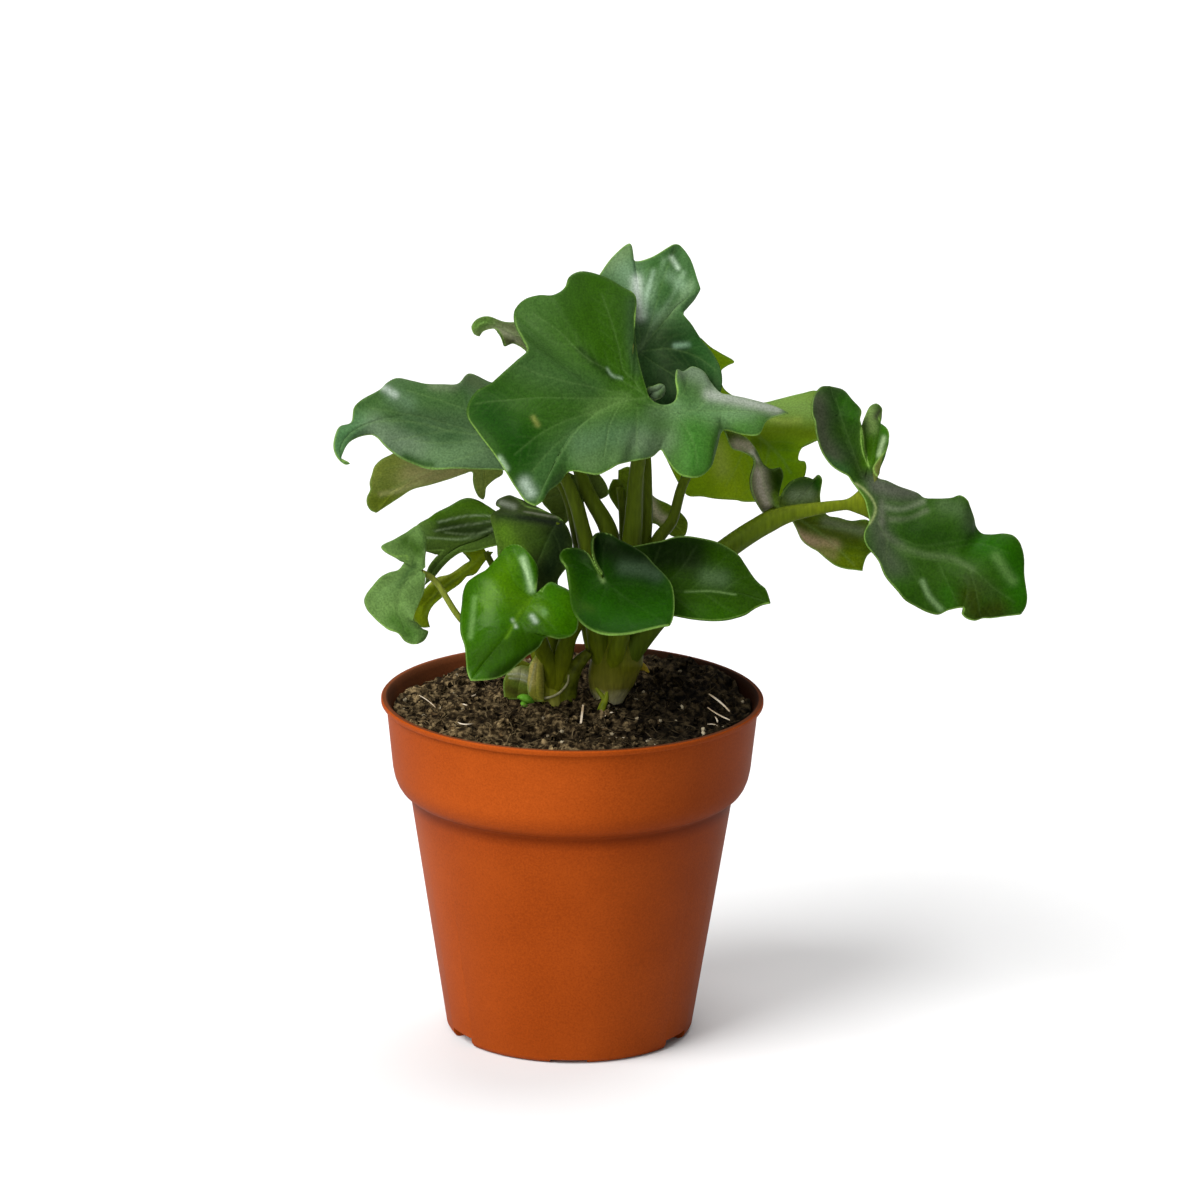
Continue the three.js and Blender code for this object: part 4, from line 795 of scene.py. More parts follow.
def leaf_mesh(name, leaf, finish, step):
    """A blade with its two faces and its rim, its veins and waves, and its painted marks and painted light.
    """
    flat, front = leaf_grid(leaf, step)
    outline = np.vstack([flat[:, 0], flat[::-1, -1]])
    from_margin, painted_edge_light = margin_distance(flat, outline[::2])
    main = np.full(flat.shape[:-1], FAR)
    fine = np.full(flat.shape[:-1], FAR)
    for i, vein in enumerate(leaf["veins"]):
        main = np.minimum(main, line_distance(flat, vein, 9) + (0 if i == 0 else 0.1))
        for branch in side_veins(vein, length=9 if i == 0 else 6):
            fine = np.minimum(fine, line_distance(flat, branch, 2))
    place = np.concatenate([flat, np.zeros(flat.shape[:-1] + (1,))], axis=-1)
    hand = -1 if leaf.get("shows_underside") else 1
    inside = np.clip(from_margin / 2.5, 0, 1)
    puffed = PUFF * (1 - np.exp(-((main / 4.2) ** 2))) - PUFF
    grooves = VEIN_DEPTH * np.exp(-((main / 0.45) ** 2)) + FINE_VEIN_DEPTH * np.exp(-((fine / 0.4) ** 2))
    lift = hand * inside * (puffed - grooves)
    waves = 1.6 * field(place, 13, 1) + 0.35 * field(place, 5.5, 1) + 0.06 * field(place, 2, 2)
    lift += WAVE * waves * inside
    net = seen(flat[..., 0], flat[..., 1], front + lift)
    square = unit_normals(net)
    if square[..., 1].mean() > 0:
        square = -square
    if hand < 0:
        square = -square
    half = LEAF_THICKNESS / 2 * np.clip(0.5 + from_margin / 1.6, 0.5, 1)[..., None]
    rows, columns = net.shape[:2]
    points = np.vstack([(net + square * half).reshape(-1, 3), (net - square * half).reshape(-1, 3)])
    index = np.arange(rows * columns).reshape(rows, columns)
    quads = np.stack([index[:-1, :-1], index[1:, :-1], index[1:, 1:], index[:-1, 1:]], axis=-1).reshape(-1, 4)
    low = quads + rows * columns
    rim = np.concatenate([index[:, 0], index[-1, 1:], index[-2::-1, -1], index[0, -2:0:-1]])
    after = np.roll(rim, -1)
    walls = np.stack([rim, rim + rows * columns, after + rows * columns, after], axis=-1)
    faces = np.vstack([quads[:, ::-1], low, walls[:, ::-1]])
    kinds = np.concatenate([np.zeros(len(quads)), np.ones(len(low)), np.zeros(len(walls))])
    piece = mesh_object(name, points, faces.tolist(), finish, kinds)

    # The pale margin, with painted light on the edges that face the light.
    edge = np.clip(1.5 - from_margin / 0.34, 0, 1) * painted_edge_light
    on_main, on_fine = np.exp(-((main / 0.36) ** 2)), np.exp(-((fine / 0.3) ** 2))
    lines = np.stack([on_main, edge, on_fine, np.ones_like(main)], axis=-1)
    shades = np.zeros(flat.shape[:-1] + (4,))
    for colour, strength, width, line in leaf["marks_and_painted_light"]:
        distance = line_distance(flat, line, 2.4 * width)
        cover = (strength * np.exp(-((distance / width) ** 2)))[..., None]
        whole = shades[..., 3:] * (1 - cover) + cover
        mixed = shades[..., :3] * shades[..., 3:] * (1 - cover) + np.array(colour) * cover
        shades[..., :3] = np.where(whole > 1e-4, mixed / np.maximum(whole, 1e-4), shades[..., :3])
        shades[..., 3:] = whole
    plain = np.zeros_like(shades)
    facing = [shades, plain] if hand > 0 else [plain, shades]
    for title, layers in (("lines", [lines, lines]), ("shades", facing)):
        layer = piece.data.color_attributes.new(title, "FLOAT_COLOR", "POINT")
        values = np.vstack([part.reshape(-1, 4) for part in layers])
        layer.data.foreach_set("color", values.astype(np.float32).ravel())
    tidy = bmesh.new()
    tidy.from_mesh(piece.data)
    bmesh.ops.remove_doubles(tidy, verts=tidy.verts, dist=0.004 * MM)
    bmesh.ops.dissolve_degenerate(tidy, edges=tidy.edges, dist=0.002 * MM)
    bmesh.ops.recalc_face_normals(tidy, faces=tidy.faces)
    tidy.to_mesh(piece.data)
    tidy.free()
    return piece, net


def leaf_face(name, green, rough, through=0.15, veins=0.13, shine=0.12):
    """Leaf skin: mottled green with its marks and painted light, paler veins and margin, and light through
    it.
    """
    material, tree, shader, add = node_tree(name)
    mottle = speckle(tree, add, 7, 5)
    shades = [(0.32, 0.87), (0.5, 1.0), (0.7, 1.13)]
    body = ramp(tree, add, mottle.outputs["Fac"], [(at, tuple(c * s for c in green)) for at, s in shades])

    def blend(base, top, mask):
        mixed = add("MixRGB")
        tree.links.new(mask, mixed.inputs["Fac"])
        tree.links.new(base, mixed.inputs["Color1"])
        if isinstance(top, tuple):
            mixed.inputs["Color2"].default_value = (*top, 1)
        else:
            tree.links.new(top, mixed.inputs["Color2"])
        return mixed.outputs["Color"]

    marks_and_painted_light = add("VertexColor", layer_name="shades")
    colour = blend(body.outputs["Color"], marks_and_painted_light.outputs["Color"], marks_and_painted_light.outputs["Alpha"])
    lines = add("VertexColor", layer_name="lines")
    split = add("SeparateColor")
    tree.links.new(lines.outputs["Color"], split.inputs["Color"])
    drawn = (("Blue", VEIN_GREEN, veins * 0.3), ("Red", VEIN_GREEN, veins), ("Green", MARGIN_GREEN, 0.8))
    for channel, pale, amount in drawn:
        colour = blend(colour, pale, spread(tree, add, split.outputs[channel], 0, 1, 0, amount))
    dots = speckle(tree, add, 0.55, 3)
    shade = ramp(tree, add, dots.outputs["Fac"], [(0.32, (0.74, 0.77, 0.74)), (0.68, (1.26, 1.23, 1.26))])
    colour = shaded(tree, add, colour, shade.outputs["Color"])
    tree.links.new(colour, shader.inputs["Base Color"])
    patches = speckle(tree, add, 12, 3)
    wax = spread(tree, add, patches.outputs["Fac"], 0.3, 0.7, rough - 0.06, rough + 0.12)
    tree.links.new(wax, shader.inputs["Roughness"])
    shader.inputs["Specular IOR Level"].default_value = shine
    shader.inputs["Specular Tint"].default_value = (0.75, 1, 0.5, 1)
    bump(tree, add, shader, dots.outputs["Fac"], 0.1, 0.6)
    once = add("Gamma", Gamma=HALF_TINT)
    tree.links.new(colour, once.inputs["Color"])
    glow = add("BsdfTranslucent")
    tree.links.new(once.outputs["Color"], glow.inputs["Color"])
    both = add("MixShader", Fac=through)
    tree.links.new(shader.outputs["BSDF"], both.inputs[1])
    tree.links.new(glow.outputs["BSDF"], both.inputs[2])
    tree.links.new(both.outputs["Shader"], tree.nodes["Material Output"].inputs["Surface"])
    return material


# The small ear that stands curled in the bay of the main leaf, where its stalk comes in.
LEAF_MAIN_EAR = dict(
    front=3.2, lean=(0.05, -0.2), rise=0.3,
    bays=[
        dict(spine=[(20.2, 174.6), (21.4, 175.8), (22.8, 176.4)],
             a=[(19.2, 175.4), (19.9, 177), (21.6, 177.6), (23.4, 178.2)],
             b=[(20.8, 173.6), (22.6, 173.8), (24.2, 174.8), (24.9, 176.2)]),
    ],
    tip=(24.6, 177.8),
    veins=[],
    marks_and_painted_light=[
        ((0.018, 0.045, 0.008), 0.8, 0.9, [(19.6, 176.4), (20.4, 174.4)]),
        ((0.03, 0.07, 0.012), 0.7, 0.7, [(23.9, 176.2), (23.2, 174.6)]),
    ],
)

LEAF_MAIN = dict(
    front=9, lean=(-0.06, -0.5), rise=0.05,
    bays=[
        dict(spine=[(40, 170.5)],
             a=[(59.2, 170.4, -7), (55.8, 172.1, -6), (48, 174.3, -4), (43, 175.3, -3)],
             b=[(59.2, 170.4, -7), (53.3, 168.3, -2), (50.9, 164.3, 1), (46.5, 164.4)]),
        dict(spine=[(40, 170.5), (33, 170), (28, 170)],
             a=[(40.4, 175.8, -3), (37.5, 178.7, -5), (35.4, 181.8, -6), (32.4, 183.1, -6),
                (29.6, 181.7, -3), (28, 182.3, -1), (27.6, 179.8), (28.2, 176), (27.4, 173.4)],
             b=[(41, 165.4, -3), (39.2, 160, -2), (37.7, 155.2), (35, 152.6, 1), (32, 152.2, 2),
                (29.2, 152.9, 1), (27.1, 154.9), (25.2, 157.7, -1), (23.8, 159.8, -2)]),
        dict(spine=[(25, 170.5), (19, 172)],
             a=[(25, 172.4), (22.4, 172.9), (20.5, 174.4)],
             b=[(21.5, 158, -2), (18, 157), (15, 156.4)]),
        dict(spine=[(17, 172.5), (12, 172.8), (9, 172)],
             a=[(19.5, 177), (18.3, 181), (16.5, 189, -1), (16, 196, -2), (16.2, 202.7, -4),
                (12.6, 205.1, -4), (7, 208.1, -3), (1, 209.3, -2), (-2.3, 207.7, 0), (-3.5, 204.7, 1),
                (-6.5, 202.7, 2), (-10.5, 202.6), (-14.9, 201.1, -3), (-17.4, 198, -4), (-17.3, 194.6, -2),
                (-15, 190, 2), (-13.8, 187.2, 3)],
             b=[(12, 155.6, 2), (9, 153.9, 2), (6.3, 152.7, 2)]),
        dict(spine=[(5, 169.5), (0, 165), (-4, 159), (-7.5, 152), (-9.5, 147)],
             a=[(-16.5, 184.5, 2), (-20.1, 181.2), (-23.9, 177.8, -3), (-27.5, 175.8, -5), (-30, 172, -5),
                (-30.3, 168.8, -4), (-27.5, 164.4, -2), (-23.3, 159), (-19.5, 153.5, 1), (-16.5, 148.8),
                (-13.6, 145)],
             b=[(3, 153.1, 1), (0, 153.6), (-2.2, 153.2, -2), (-4.3, 150.5, -3), (-7.5, 147.8, -1),
                (-9.1, 145.1)]),
    ],
    tip=(-11, 143.8),
    veins=[
        [(20, 174.5), (15, 173.6), (11, 172.5), (5, 169), (0, 164.5), (-4, 158.5), (-8, 151), (-11, 144)],
        [(19, 175), (16, 179), (13, 182), (11.8, 187.6), (9.6, 195.3), (6.8, 203)],
        [(18.8, 175.5), (13, 178.8), (8.6, 182), (4.1, 184.4), (0.3, 187.6), (-4.8, 192.7), (-12, 197.5)],
        [(19.4, 173.7), (11.8, 174), (-0.3, 174), (-10.5, 174), (-22.6, 172.8), (-28, 172)],
        [(15, 175), (0, 178), (-10, 180.5), (-16, 183)],
        [(6, 170.5), (-3, 167.5), (-10.5, 163.4), (-17, 158)],
        [(1, 166), (-6, 160.5), (-12, 153.5)],
        [(12, 172), (9.5, 166.5), (8, 158)],
        [(17, 172.5), (17, 165), (17, 158.5)],
        [(20, 172.5), (30, 171), (40, 170.8), (52, 170.5), (58, 170.4)],
        [(21, 172.5), (29, 168), (33, 161), (34, 155)],
        [(24, 171.5), (35, 168), (45, 166.5)],
        [(26, 172), (30, 176), (31, 181)],
        [(34, 171.5), (36, 174), (37, 177)],
    ],
    upper=(0.024, 0.069, 0.0069), under=(0.092, 0.11, 0.021), rough=0.42, shine=0.08,
    marks_and_painted_light=[
        ((0.018, 0.063, 0.00059), 0.85, 8, [(5, 205), (5, 196), (8, 187), (12, 178)]),
        ((0.035, 0.086, 0.016), 0.7, 6, [(-12, 199), (-11, 189)]),
        ((0.004, 0.035, 0.00045), 0.98, 9, [(-24, 170), (-17, 164), (-15, 159)]),
        ((0.014, 0.057, 0.0013), 0.6, 5, [(-4, 172), (-14, 171)]),
        ((0.027, 0.068, 0.017), 0.65, 5, [(-14, 183), (-6, 180), (4, 177)]),
        ((0.048, 0.1, 0.042), 0.8, 5.5, [(2, 161), (10, 163), (18, 163)]),
        ((0.064, 0.12, 0.04), 0.6, 3.5, [(4, 155.5), (14, 158)]),
        ((0.076, 0.15, 0.035), 0.6, 2.6, [(5, 170.5), (9, 172.3), (13, 173.5)]),
        ((0.093, 0.14, 0.074), 0.65, 4, [(18, 162), (22.5, 161.2), (27, 163.2)]),
        ((0.052, 0.095, 0.037), 0.7, 3, [(22, 170), (28, 171)]),
        ((0.11, 0.16, 0.094), 0.9, 3.4, [(30, 182), (35, 180.5), (39, 177)]),
        ((0.095, 0.18, 0.073), 0.85, 4, [(29, 171), (38, 170), (48, 169)]),
        ((0.25, 0.28, 0.23), 0.9, 1.7, [(37, 175.2), (46, 173.6), (56, 171.2)]),
        ((0.049, 0.12, 0.03), 0.7, 2.6, [(29.5, 177), (31, 174)]),
        ((0.033, 0.12, 0.015), 0.9, 5.5, [(33, 165), (33, 157)]),
        ((0.033, 0.11, 0.011), 0.7, 2.6, [(45, 166), (51, 167.4)]),
        ((0.032, 0.082, 0.021), 0.7, 4, [(-6, 158), (-10, 150)]),
        ((0.29, 0.37, 0.29), 0.85, 1.7, [(-14, 150.2), (-12.4, 147.6)]),
        ((0.23, 0.33, 0.2), 0.8, 0.8, [(-21, 157), (-19.2, 154.2)]),
        ((0.0057, 0.02, 0.0025), 0.7, 1.1, [(1, 187.6), (5.5, 183.4), (10, 180)]),
        ((0.016, 0.038, 0.012), 0.7, 2, [(15.4, 201), (15.2, 191), (16.8, 182)]),
        ((0.17, 0.19, 0.043), 0.7, 0.7, [(-11.8, 168.4), (-10.6, 166.4)]),
        ((0.18, 0.26, 0.17), 0.7, 0.4, [(8.6, 182.2), (10, 180.4), (12.6, 179.6)]),
    ],
)

LEAF_BACK_TOP = dict(
    front=-10, lean=(0.1, -0.35), rise=0.06,
    bays=[
        dict(spine=[(16.9, 186.4)],
             a=[(15, 184), (10, 186), (5, 191), (2.5, 197, -1), (3, 203, -1.5), (6.5, 208.8, -1.5),
                (9.9, 213.5, -1), (14.6, 217.2)],
             b=[(16.4, 182.6), (16.2, 176.6), (19.4, 171.2), (25.4, 168.6, 1), (32, 168.8, 2),
                (37, 171.4, 2), (40.2, 176, 1), (40.6, 180.9)]),
        dict(spine=[(18.5, 188.3), (23, 193.5), (27.9, 200.1), (31.5, 202.8)],
             a=[(15.3, 215.3), (15.4, 213.6), (16.1, 212.4, 0.4), (20.4, 213.4, 1), (25.4, 216.4),
                (27.1, 217.2, -2), (28.5, 216.8, -3), (31.3, 213.4, -2), (33.6, 207.2)],
             b=[(38.6, 185.9, -2), (34.6, 190.9, -2), (31.9, 195.1), (29.8, 197.6, 1), (30.7, 199.4, -2),
                (32.6, 201.7, -2)]),
    ],
    tip=(34.4, 204.8),
    veins=[
        [(17.4, 187.6), (21.9, 192.7), (28.2, 199.7), (33.3, 205)],
        [(18, 188), (17, 196), (17.5, 205), (16.5, 212)],
        [(17.4, 188), (12, 194), (9, 201), (8, 207)],
        [(19, 190), (22, 200), (24.5, 209), (27, 216)],
        [(17.5, 187), (25, 188), (33, 186), (39, 182)],
        [(18, 186.5), (25, 182), (32, 178), (37, 177)],
    ],
    upper=(0.039, 0.1, 0.028), under=(0.1, 0.14, 0.029), rough=0.4,
    marks_and_painted_light=[
        ((0.11, 0.19, 0.11), 0.75, 3.6, [(11, 212), (16.5, 206), (20, 198)]),
        ((0.44, 0.5, 0.44), 0.8, 1.5, [(16.6, 207), (17, 201.5), (17.6, 197)]),
        ((0.36, 0.49, 0.36), 0.6, 0.8, [(21.4, 209.6), (19.6, 203), (18.6, 197)]),
        ((0.23, 0.35, 0.21), 0.5, 0.8, [(29.6, 209), (26, 202), (21, 194)]),
        ((0.23, 0.35, 0.21), 0.45, 0.8, [(24, 212.6), (22.4, 207), (20.8, 201)]),
        ((0.089, 0.15, 0.057), 0.7, 2.6, [(9, 211.5), (13.5, 215.5)]),
        ((0.36, 0.48, 0.34), 0.85, 0.7, [(26, 213.4), (28, 210.4)]),
        ((0.18, 0.29, 0.17), 0.8, 1.9, [(25, 208), (30, 205)]),
        ((0.018, 0.069, 0.0092), 0.7, 3, [(22, 211), (24, 206)]),
        ((0.14, 0.23, 0.11), 0.65, 1.3, [(31.6, 206), (28, 200.5), (22.4, 195), (18, 188)]),
        ((0.029, 0.086, 0.02), 0.6, 3, [(22, 201), (25, 203)]),
        ((0.0033, 0.018, 0.0025), 0.95, 7, [(25, 191), (32, 184), (34, 178)]),
        ((0.0038, 0.016, 0.0034), 0.9, 5, [(26, 184), (25, 176), (30, 172)]),
        ((0.15, 0.25, 0.16), 0.75, 0.8, [(27.6, 188.8), (31, 189.2)]),
        ((0.015, 0.062, 0.01), 0.7, 3, [(33.5, 190), (38, 184)]),
    ],
)

LEAF_LEFT_UPPER = dict(
    front=2, lean=(-0.08, -0.45), rise=0.06,
    bays=[
        dict(spine=[(-19, 163)],
             a=[(-15, 165), (-12, 170), (-15, 175), (-20, 177.5, -3), (-23.9, 178.2, -4),
                (-29.8, 180.5, -4), (-33.1, 177.6)],
             b=[(-15, 162), (-11, 158), (-13, 154.5), (-17, 153.5), (-20.9, 153.8), (-25.9, 153.9)]),
        dict(spine=[(-24, 163.8), (-35, 166.4), (-43.5, 168.5), (-50, 168.3), (-57, 166.8), (-62, 164.3),
            (-65.3, 160.5), (-65.9, 157.2)],
             a=[(-37, 177.5), (-42, 177.6, -2), (-45.1, 178.2, -3), (-49.9, 179, -4), (-52.5, 177.8, -3),
                (-54.8, 175.7), (-59.7, 172.9, -1), (-61.7, 170.7, -3), (-62.5, 166.5, -3),
                (-65.5, 165.4, -2), (-66.8, 163.3), (-67.4, 159.9), (-66.6, 157.2), (-65, 155.4),
                (-63.7, 154.8)],
             b=[(-34, 154, 2), (-38.7, 153.7, 2), (-41.8, 154, 1), (-44.9, 155.1), (-48, 156.4),
                (-50.7, 158.1), (-53, 160), (-55, 162.3, -1), (-56.5, 163.2, -2), (-58.5, 163.1, -2),
                (-61.2, 162.2, -1), (-63.3, 160.6), (-64.6, 158.3), (-65.1, 156)]),
    ],
    tip=(-62.6, 155.1),
    veins=[
        [(-19, 163), (-28, 163.6), (-36, 164.6), (-44, 166.6), (-52, 167), (-59, 165.8), (-64, 162),
            (-65.8, 157.5)],
        [(-24, 164), (-32, 165.4), (-42, 168.2), (-49, 169.4), (-57, 170.6)],
        [(-20, 165), (-28, 169.5), (-38, 173), (-47, 175.5)],
        [(-20, 162), (-28, 161.6), (-37, 161), (-45, 161.5)],
        [(-22, 161), (-30, 157.5), (-38, 155)],
        [(-36, 164.5), (-44, 163), (-51, 161.5)],
    ],
    upper=(0.036, 0.075, 0.028), under=(0.097, 0.11, 0.026), rough=0.42,
    marks_and_painted_light=[
        ((0.028, 0.074, 0.015), 0.8, 4.5, [(-51, 176.6), (-42, 174), (-33, 173)]),
        ((0.024, 0.074, 0.0088), 0.8, 4.5, [(-60, 169), (-55, 171.5), (-52, 168)]),
        ((0.079, 0.14, 0.072), 0.7, 2.6, [(-51, 174), (-47, 172)]),
        ((0.31, 0.38, 0.31), 0.85, 1, [(-53.6, 176.2), (-50.4, 174.2)]),
        ((0.048, 0.13, 0.044), 0.8, 3.4, [(-60, 166), (-65, 163), (-66.4, 158)]),
        ((0.11, 0.16, 0.096), 0.7, 4.4, [(-56, 165), (-49, 161.6), (-43, 160)]),
        ((0.083, 0.15, 0.063), 0.85, 5.2, [(-38, 157.4), (-29, 157), (-22, 159)]),
        ((0.0086, 0.038, 0.0021), 0.85, 1.3, [(-47.4, 157), (-43, 155.4), (-40, 154.8)]),
        ((0.019, 0.054, 0.015), 0.7, 2.4, [(-46, 166), (-38, 162.6), (-33, 163)]),
        ((0.093, 0.12, 0.065), 0.6, 1.4, [(-40, 177), (-34, 176.8)]),
        ((0.045, 0.069, 0.024), 0.7, 2.4, [(-30, 179.4), (-27, 177.6)]),
    ],
)

LEAF_LEFT_UNDER = dict(
    front=-8, lean=(0, 0.5), rise=-0.05, shows_underside=True,
    bays=[
        dict(spine=[(-25, 158)],
             a=[(-23, 160), (-24, 163), (-28, 165), (-34, 165), (-40, 163.5)],
             b=[(-22.5, 156), (-20, 153), (-22.7, 150.9), (-24.7, 148.8), (-25.4, 145.6), (-26.7, 146.2),
                (-27.8, 148), (-28.4, 150.3), (-28.7, 153.2)]),
        dict(spine=[(-29, 157), (-38, 154), (-47, 149.5), (-52, 145.5)],
             a=[(-46, 161.5), (-50.9, 157.9), (-54, 156.3), (-55.9, 154.3), (-56.5, 152.4), (-57.2, 149.8),
                (-57, 147.9), (-57.9, 145.7), (-57.9, 144), (-56.9, 142.3)],
             b=[(-30.9, 152.6), (-34.8, 151.2), (-40.3, 149.5), (-45.3, 148.1), (-48.8, 145.8),
                (-52.7, 143.2)]),
    ],
    tip=(-55.2, 141.5),
    veins=[
        [(-25, 158), (-38, 154.5), (-48, 150), (-54, 146)],
        [(-32, 156.5), (-38, 154), (-46, 155), (-53, 154)],
        [(-34, 155), (-40, 152), (-46, 148.8), (-52, 147)],
        [(-26, 157), (-26, 152), (-26, 148)],
    ],
    upper=(0.046, 0.099, 0.01), under=(0.15, 0.19, 0.035), rough=0.5, through=0.3,
    marks_and_painted_light=[
        ((0.26, 0.23, 0.092), 0.85, 3.6, [(-47, 153), (-40, 152), (-33, 152.6)]),
        ((0.11, 0.15, 0.006), 0.85, 4, [(-52, 145.4), (-56, 144.4)]),
        ((0.34, 0.33, 0.12), 0.7, 0.8, [(-54, 147), (-49, 148), (-43, 150.4)]),
        ((0.18, 0.22, 0.03), 0.7, 4, [(-55, 153), (-51, 155)]),
    ],
)

LEAF_BACK_LEFT = dict(
    front=-18, lean=(0, 0.3), rise=-0.06, shows_underside=True,
    bays=[
        dict(spine=[(-3, 183)],
             a=[(-1, 186), (0, 192), (-3, 197), (-8, 199)],
             b=[(-2, 180), (-1, 175), (-5, 172), (-10, 174)]),
        dict(spine=[(-7, 186), (-12, 189.5), (-18, 192), (-23, 194.6), (-26.5, 194.5), (-28, 192.6)],
             a=[(-12, 197), (-15.9, 195.2), (-20, 195), (-25, 196.5), (-28, 195.5), (-29.3, 193.5),
                (-28.5, 191.5)],
             b=[(-12, 180), (-13, 184.5), (-14.2, 187), (-17.5, 189), (-20, 188.3, 3), (-20.8, 190.5, 2),
                (-22.3, 193), (-24, 193), (-26, 192.3)]),
    ],
    tip=(-27, 190.9),
    veins=[
        [(-3, 183), (-7, 186), (-12, 189.5), (-18, 192), (-23, 194.6), (-26.5, 194.5)],
    ],
    upper=(0.066, 0.12, 0.026), under=(0.13, 0.16, 0.067), rough=0.45,
    marks_and_painted_light=[
        ((0.077, 0.18, 0.021), 0.8, 2.6, [(-29, 194), (-25, 195.4)]),
        ((0.25, 0.27, 0.16), 0.8, 1.2, [(-24, 192.6), (-20, 192), (-17, 190)]),
        ((0.054, 0.061, 0.021), 0.8, 1.2, [(-22, 190.4), (-18, 189.4)]),
    ],
)

# This leaf's greens are much lighter than the others': in part painted light, for the light that shines
# through it.
LEAF_BACK_RIGHT = dict(
    front=-23, lean=(0, 0.25), rise=-0.05, shows_underside=True,
    bays=[
        dict(spine=[(37, 184)],
             a=[(34.6, 191.1), (37.3, 188.7), (40.1, 187), (44, 184.5), (42, 183.4)],
             b=[(34.6, 191.1), (32, 186), (31, 181)]),
        dict(spine=[(38, 180), (41, 172)],
             a=[(40.3, 181.8), (41, 177.4), (45, 174.5)],
             b=[(30, 176), (28, 170), (26, 164)]),
        dict(spine=[(44, 169), (50, 165), (54, 162.5)],
             a=[(51.7, 173.2, 3), (56.3, 174.2, 4), (60, 175.2, 4), (63.3, 176, 3), (66.8, 176.7),
                (71, 175, -3), (72, 170, -3), (70.5, 165, -2)],
             b=[(25, 159), (26.9, 154.2), (29.5, 149.5), (31.5, 147.2), (35.1, 147), (39, 146.4, 2),
                (45.2, 146, 3)]),
        dict(spine=[(57, 158.5), (60, 154)],
             a=[(67.7, 163.2), (63.1, 160.8), (62.2, 157.4), (63.9, 157), (64.4, 155.5)],
             b=[(46.6, 145.7, 2), (50.3, 145.7), (55, 146)]),
    ],
    tip=(63, 149.5),
    veins=[
        [(37, 184), (38, 180), (41, 172), (50, 165), (57, 158.5), (60, 154)],
        [(44, 169), (54, 171), (64, 173)],
        [(40, 172), (35, 164), (30, 155)],
        [(48, 166), (46, 158), (42, 150)],
        [(54, 161), (52, 153), (50, 148)],
    ],
    upper=(0.092, 0.16, 0.0051), under=(0.15, 0.27, 0.0014), rough=0.5, through=0.6,
    marks_and_painted_light=[
        ((0.37, 0.62, 0.19), 0.9, 5.2, [(55, 173.4), (64, 172.6)]),
        ((0.63, 0.8, 0.19), 0.8, 1.1, [(54, 169.2), (58, 168.2), (62, 168.6)]),
        ((0.11, 0.17, 0.0013), 0.85, 3, [(52, 165.4), (60, 165.6), (65.4, 164.6)]),
        ((0.023, 0.052, 0.00065), 0.9, 2.8, [(50, 162.6), (54, 161.4), (59, 160.6)]),
        ((0.27, 0.38, 0.0051), 0.8, 5, [(41, 157), (44, 149)]),
        ((0.34, 0.41, 0.078), 0.7, 2.2, [(39.6, 161), (41, 154.6)]),
        ((0.092, 0.23, 0.00079), 0.85, 5, [(58, 157), (60, 152)]),
    ],
)

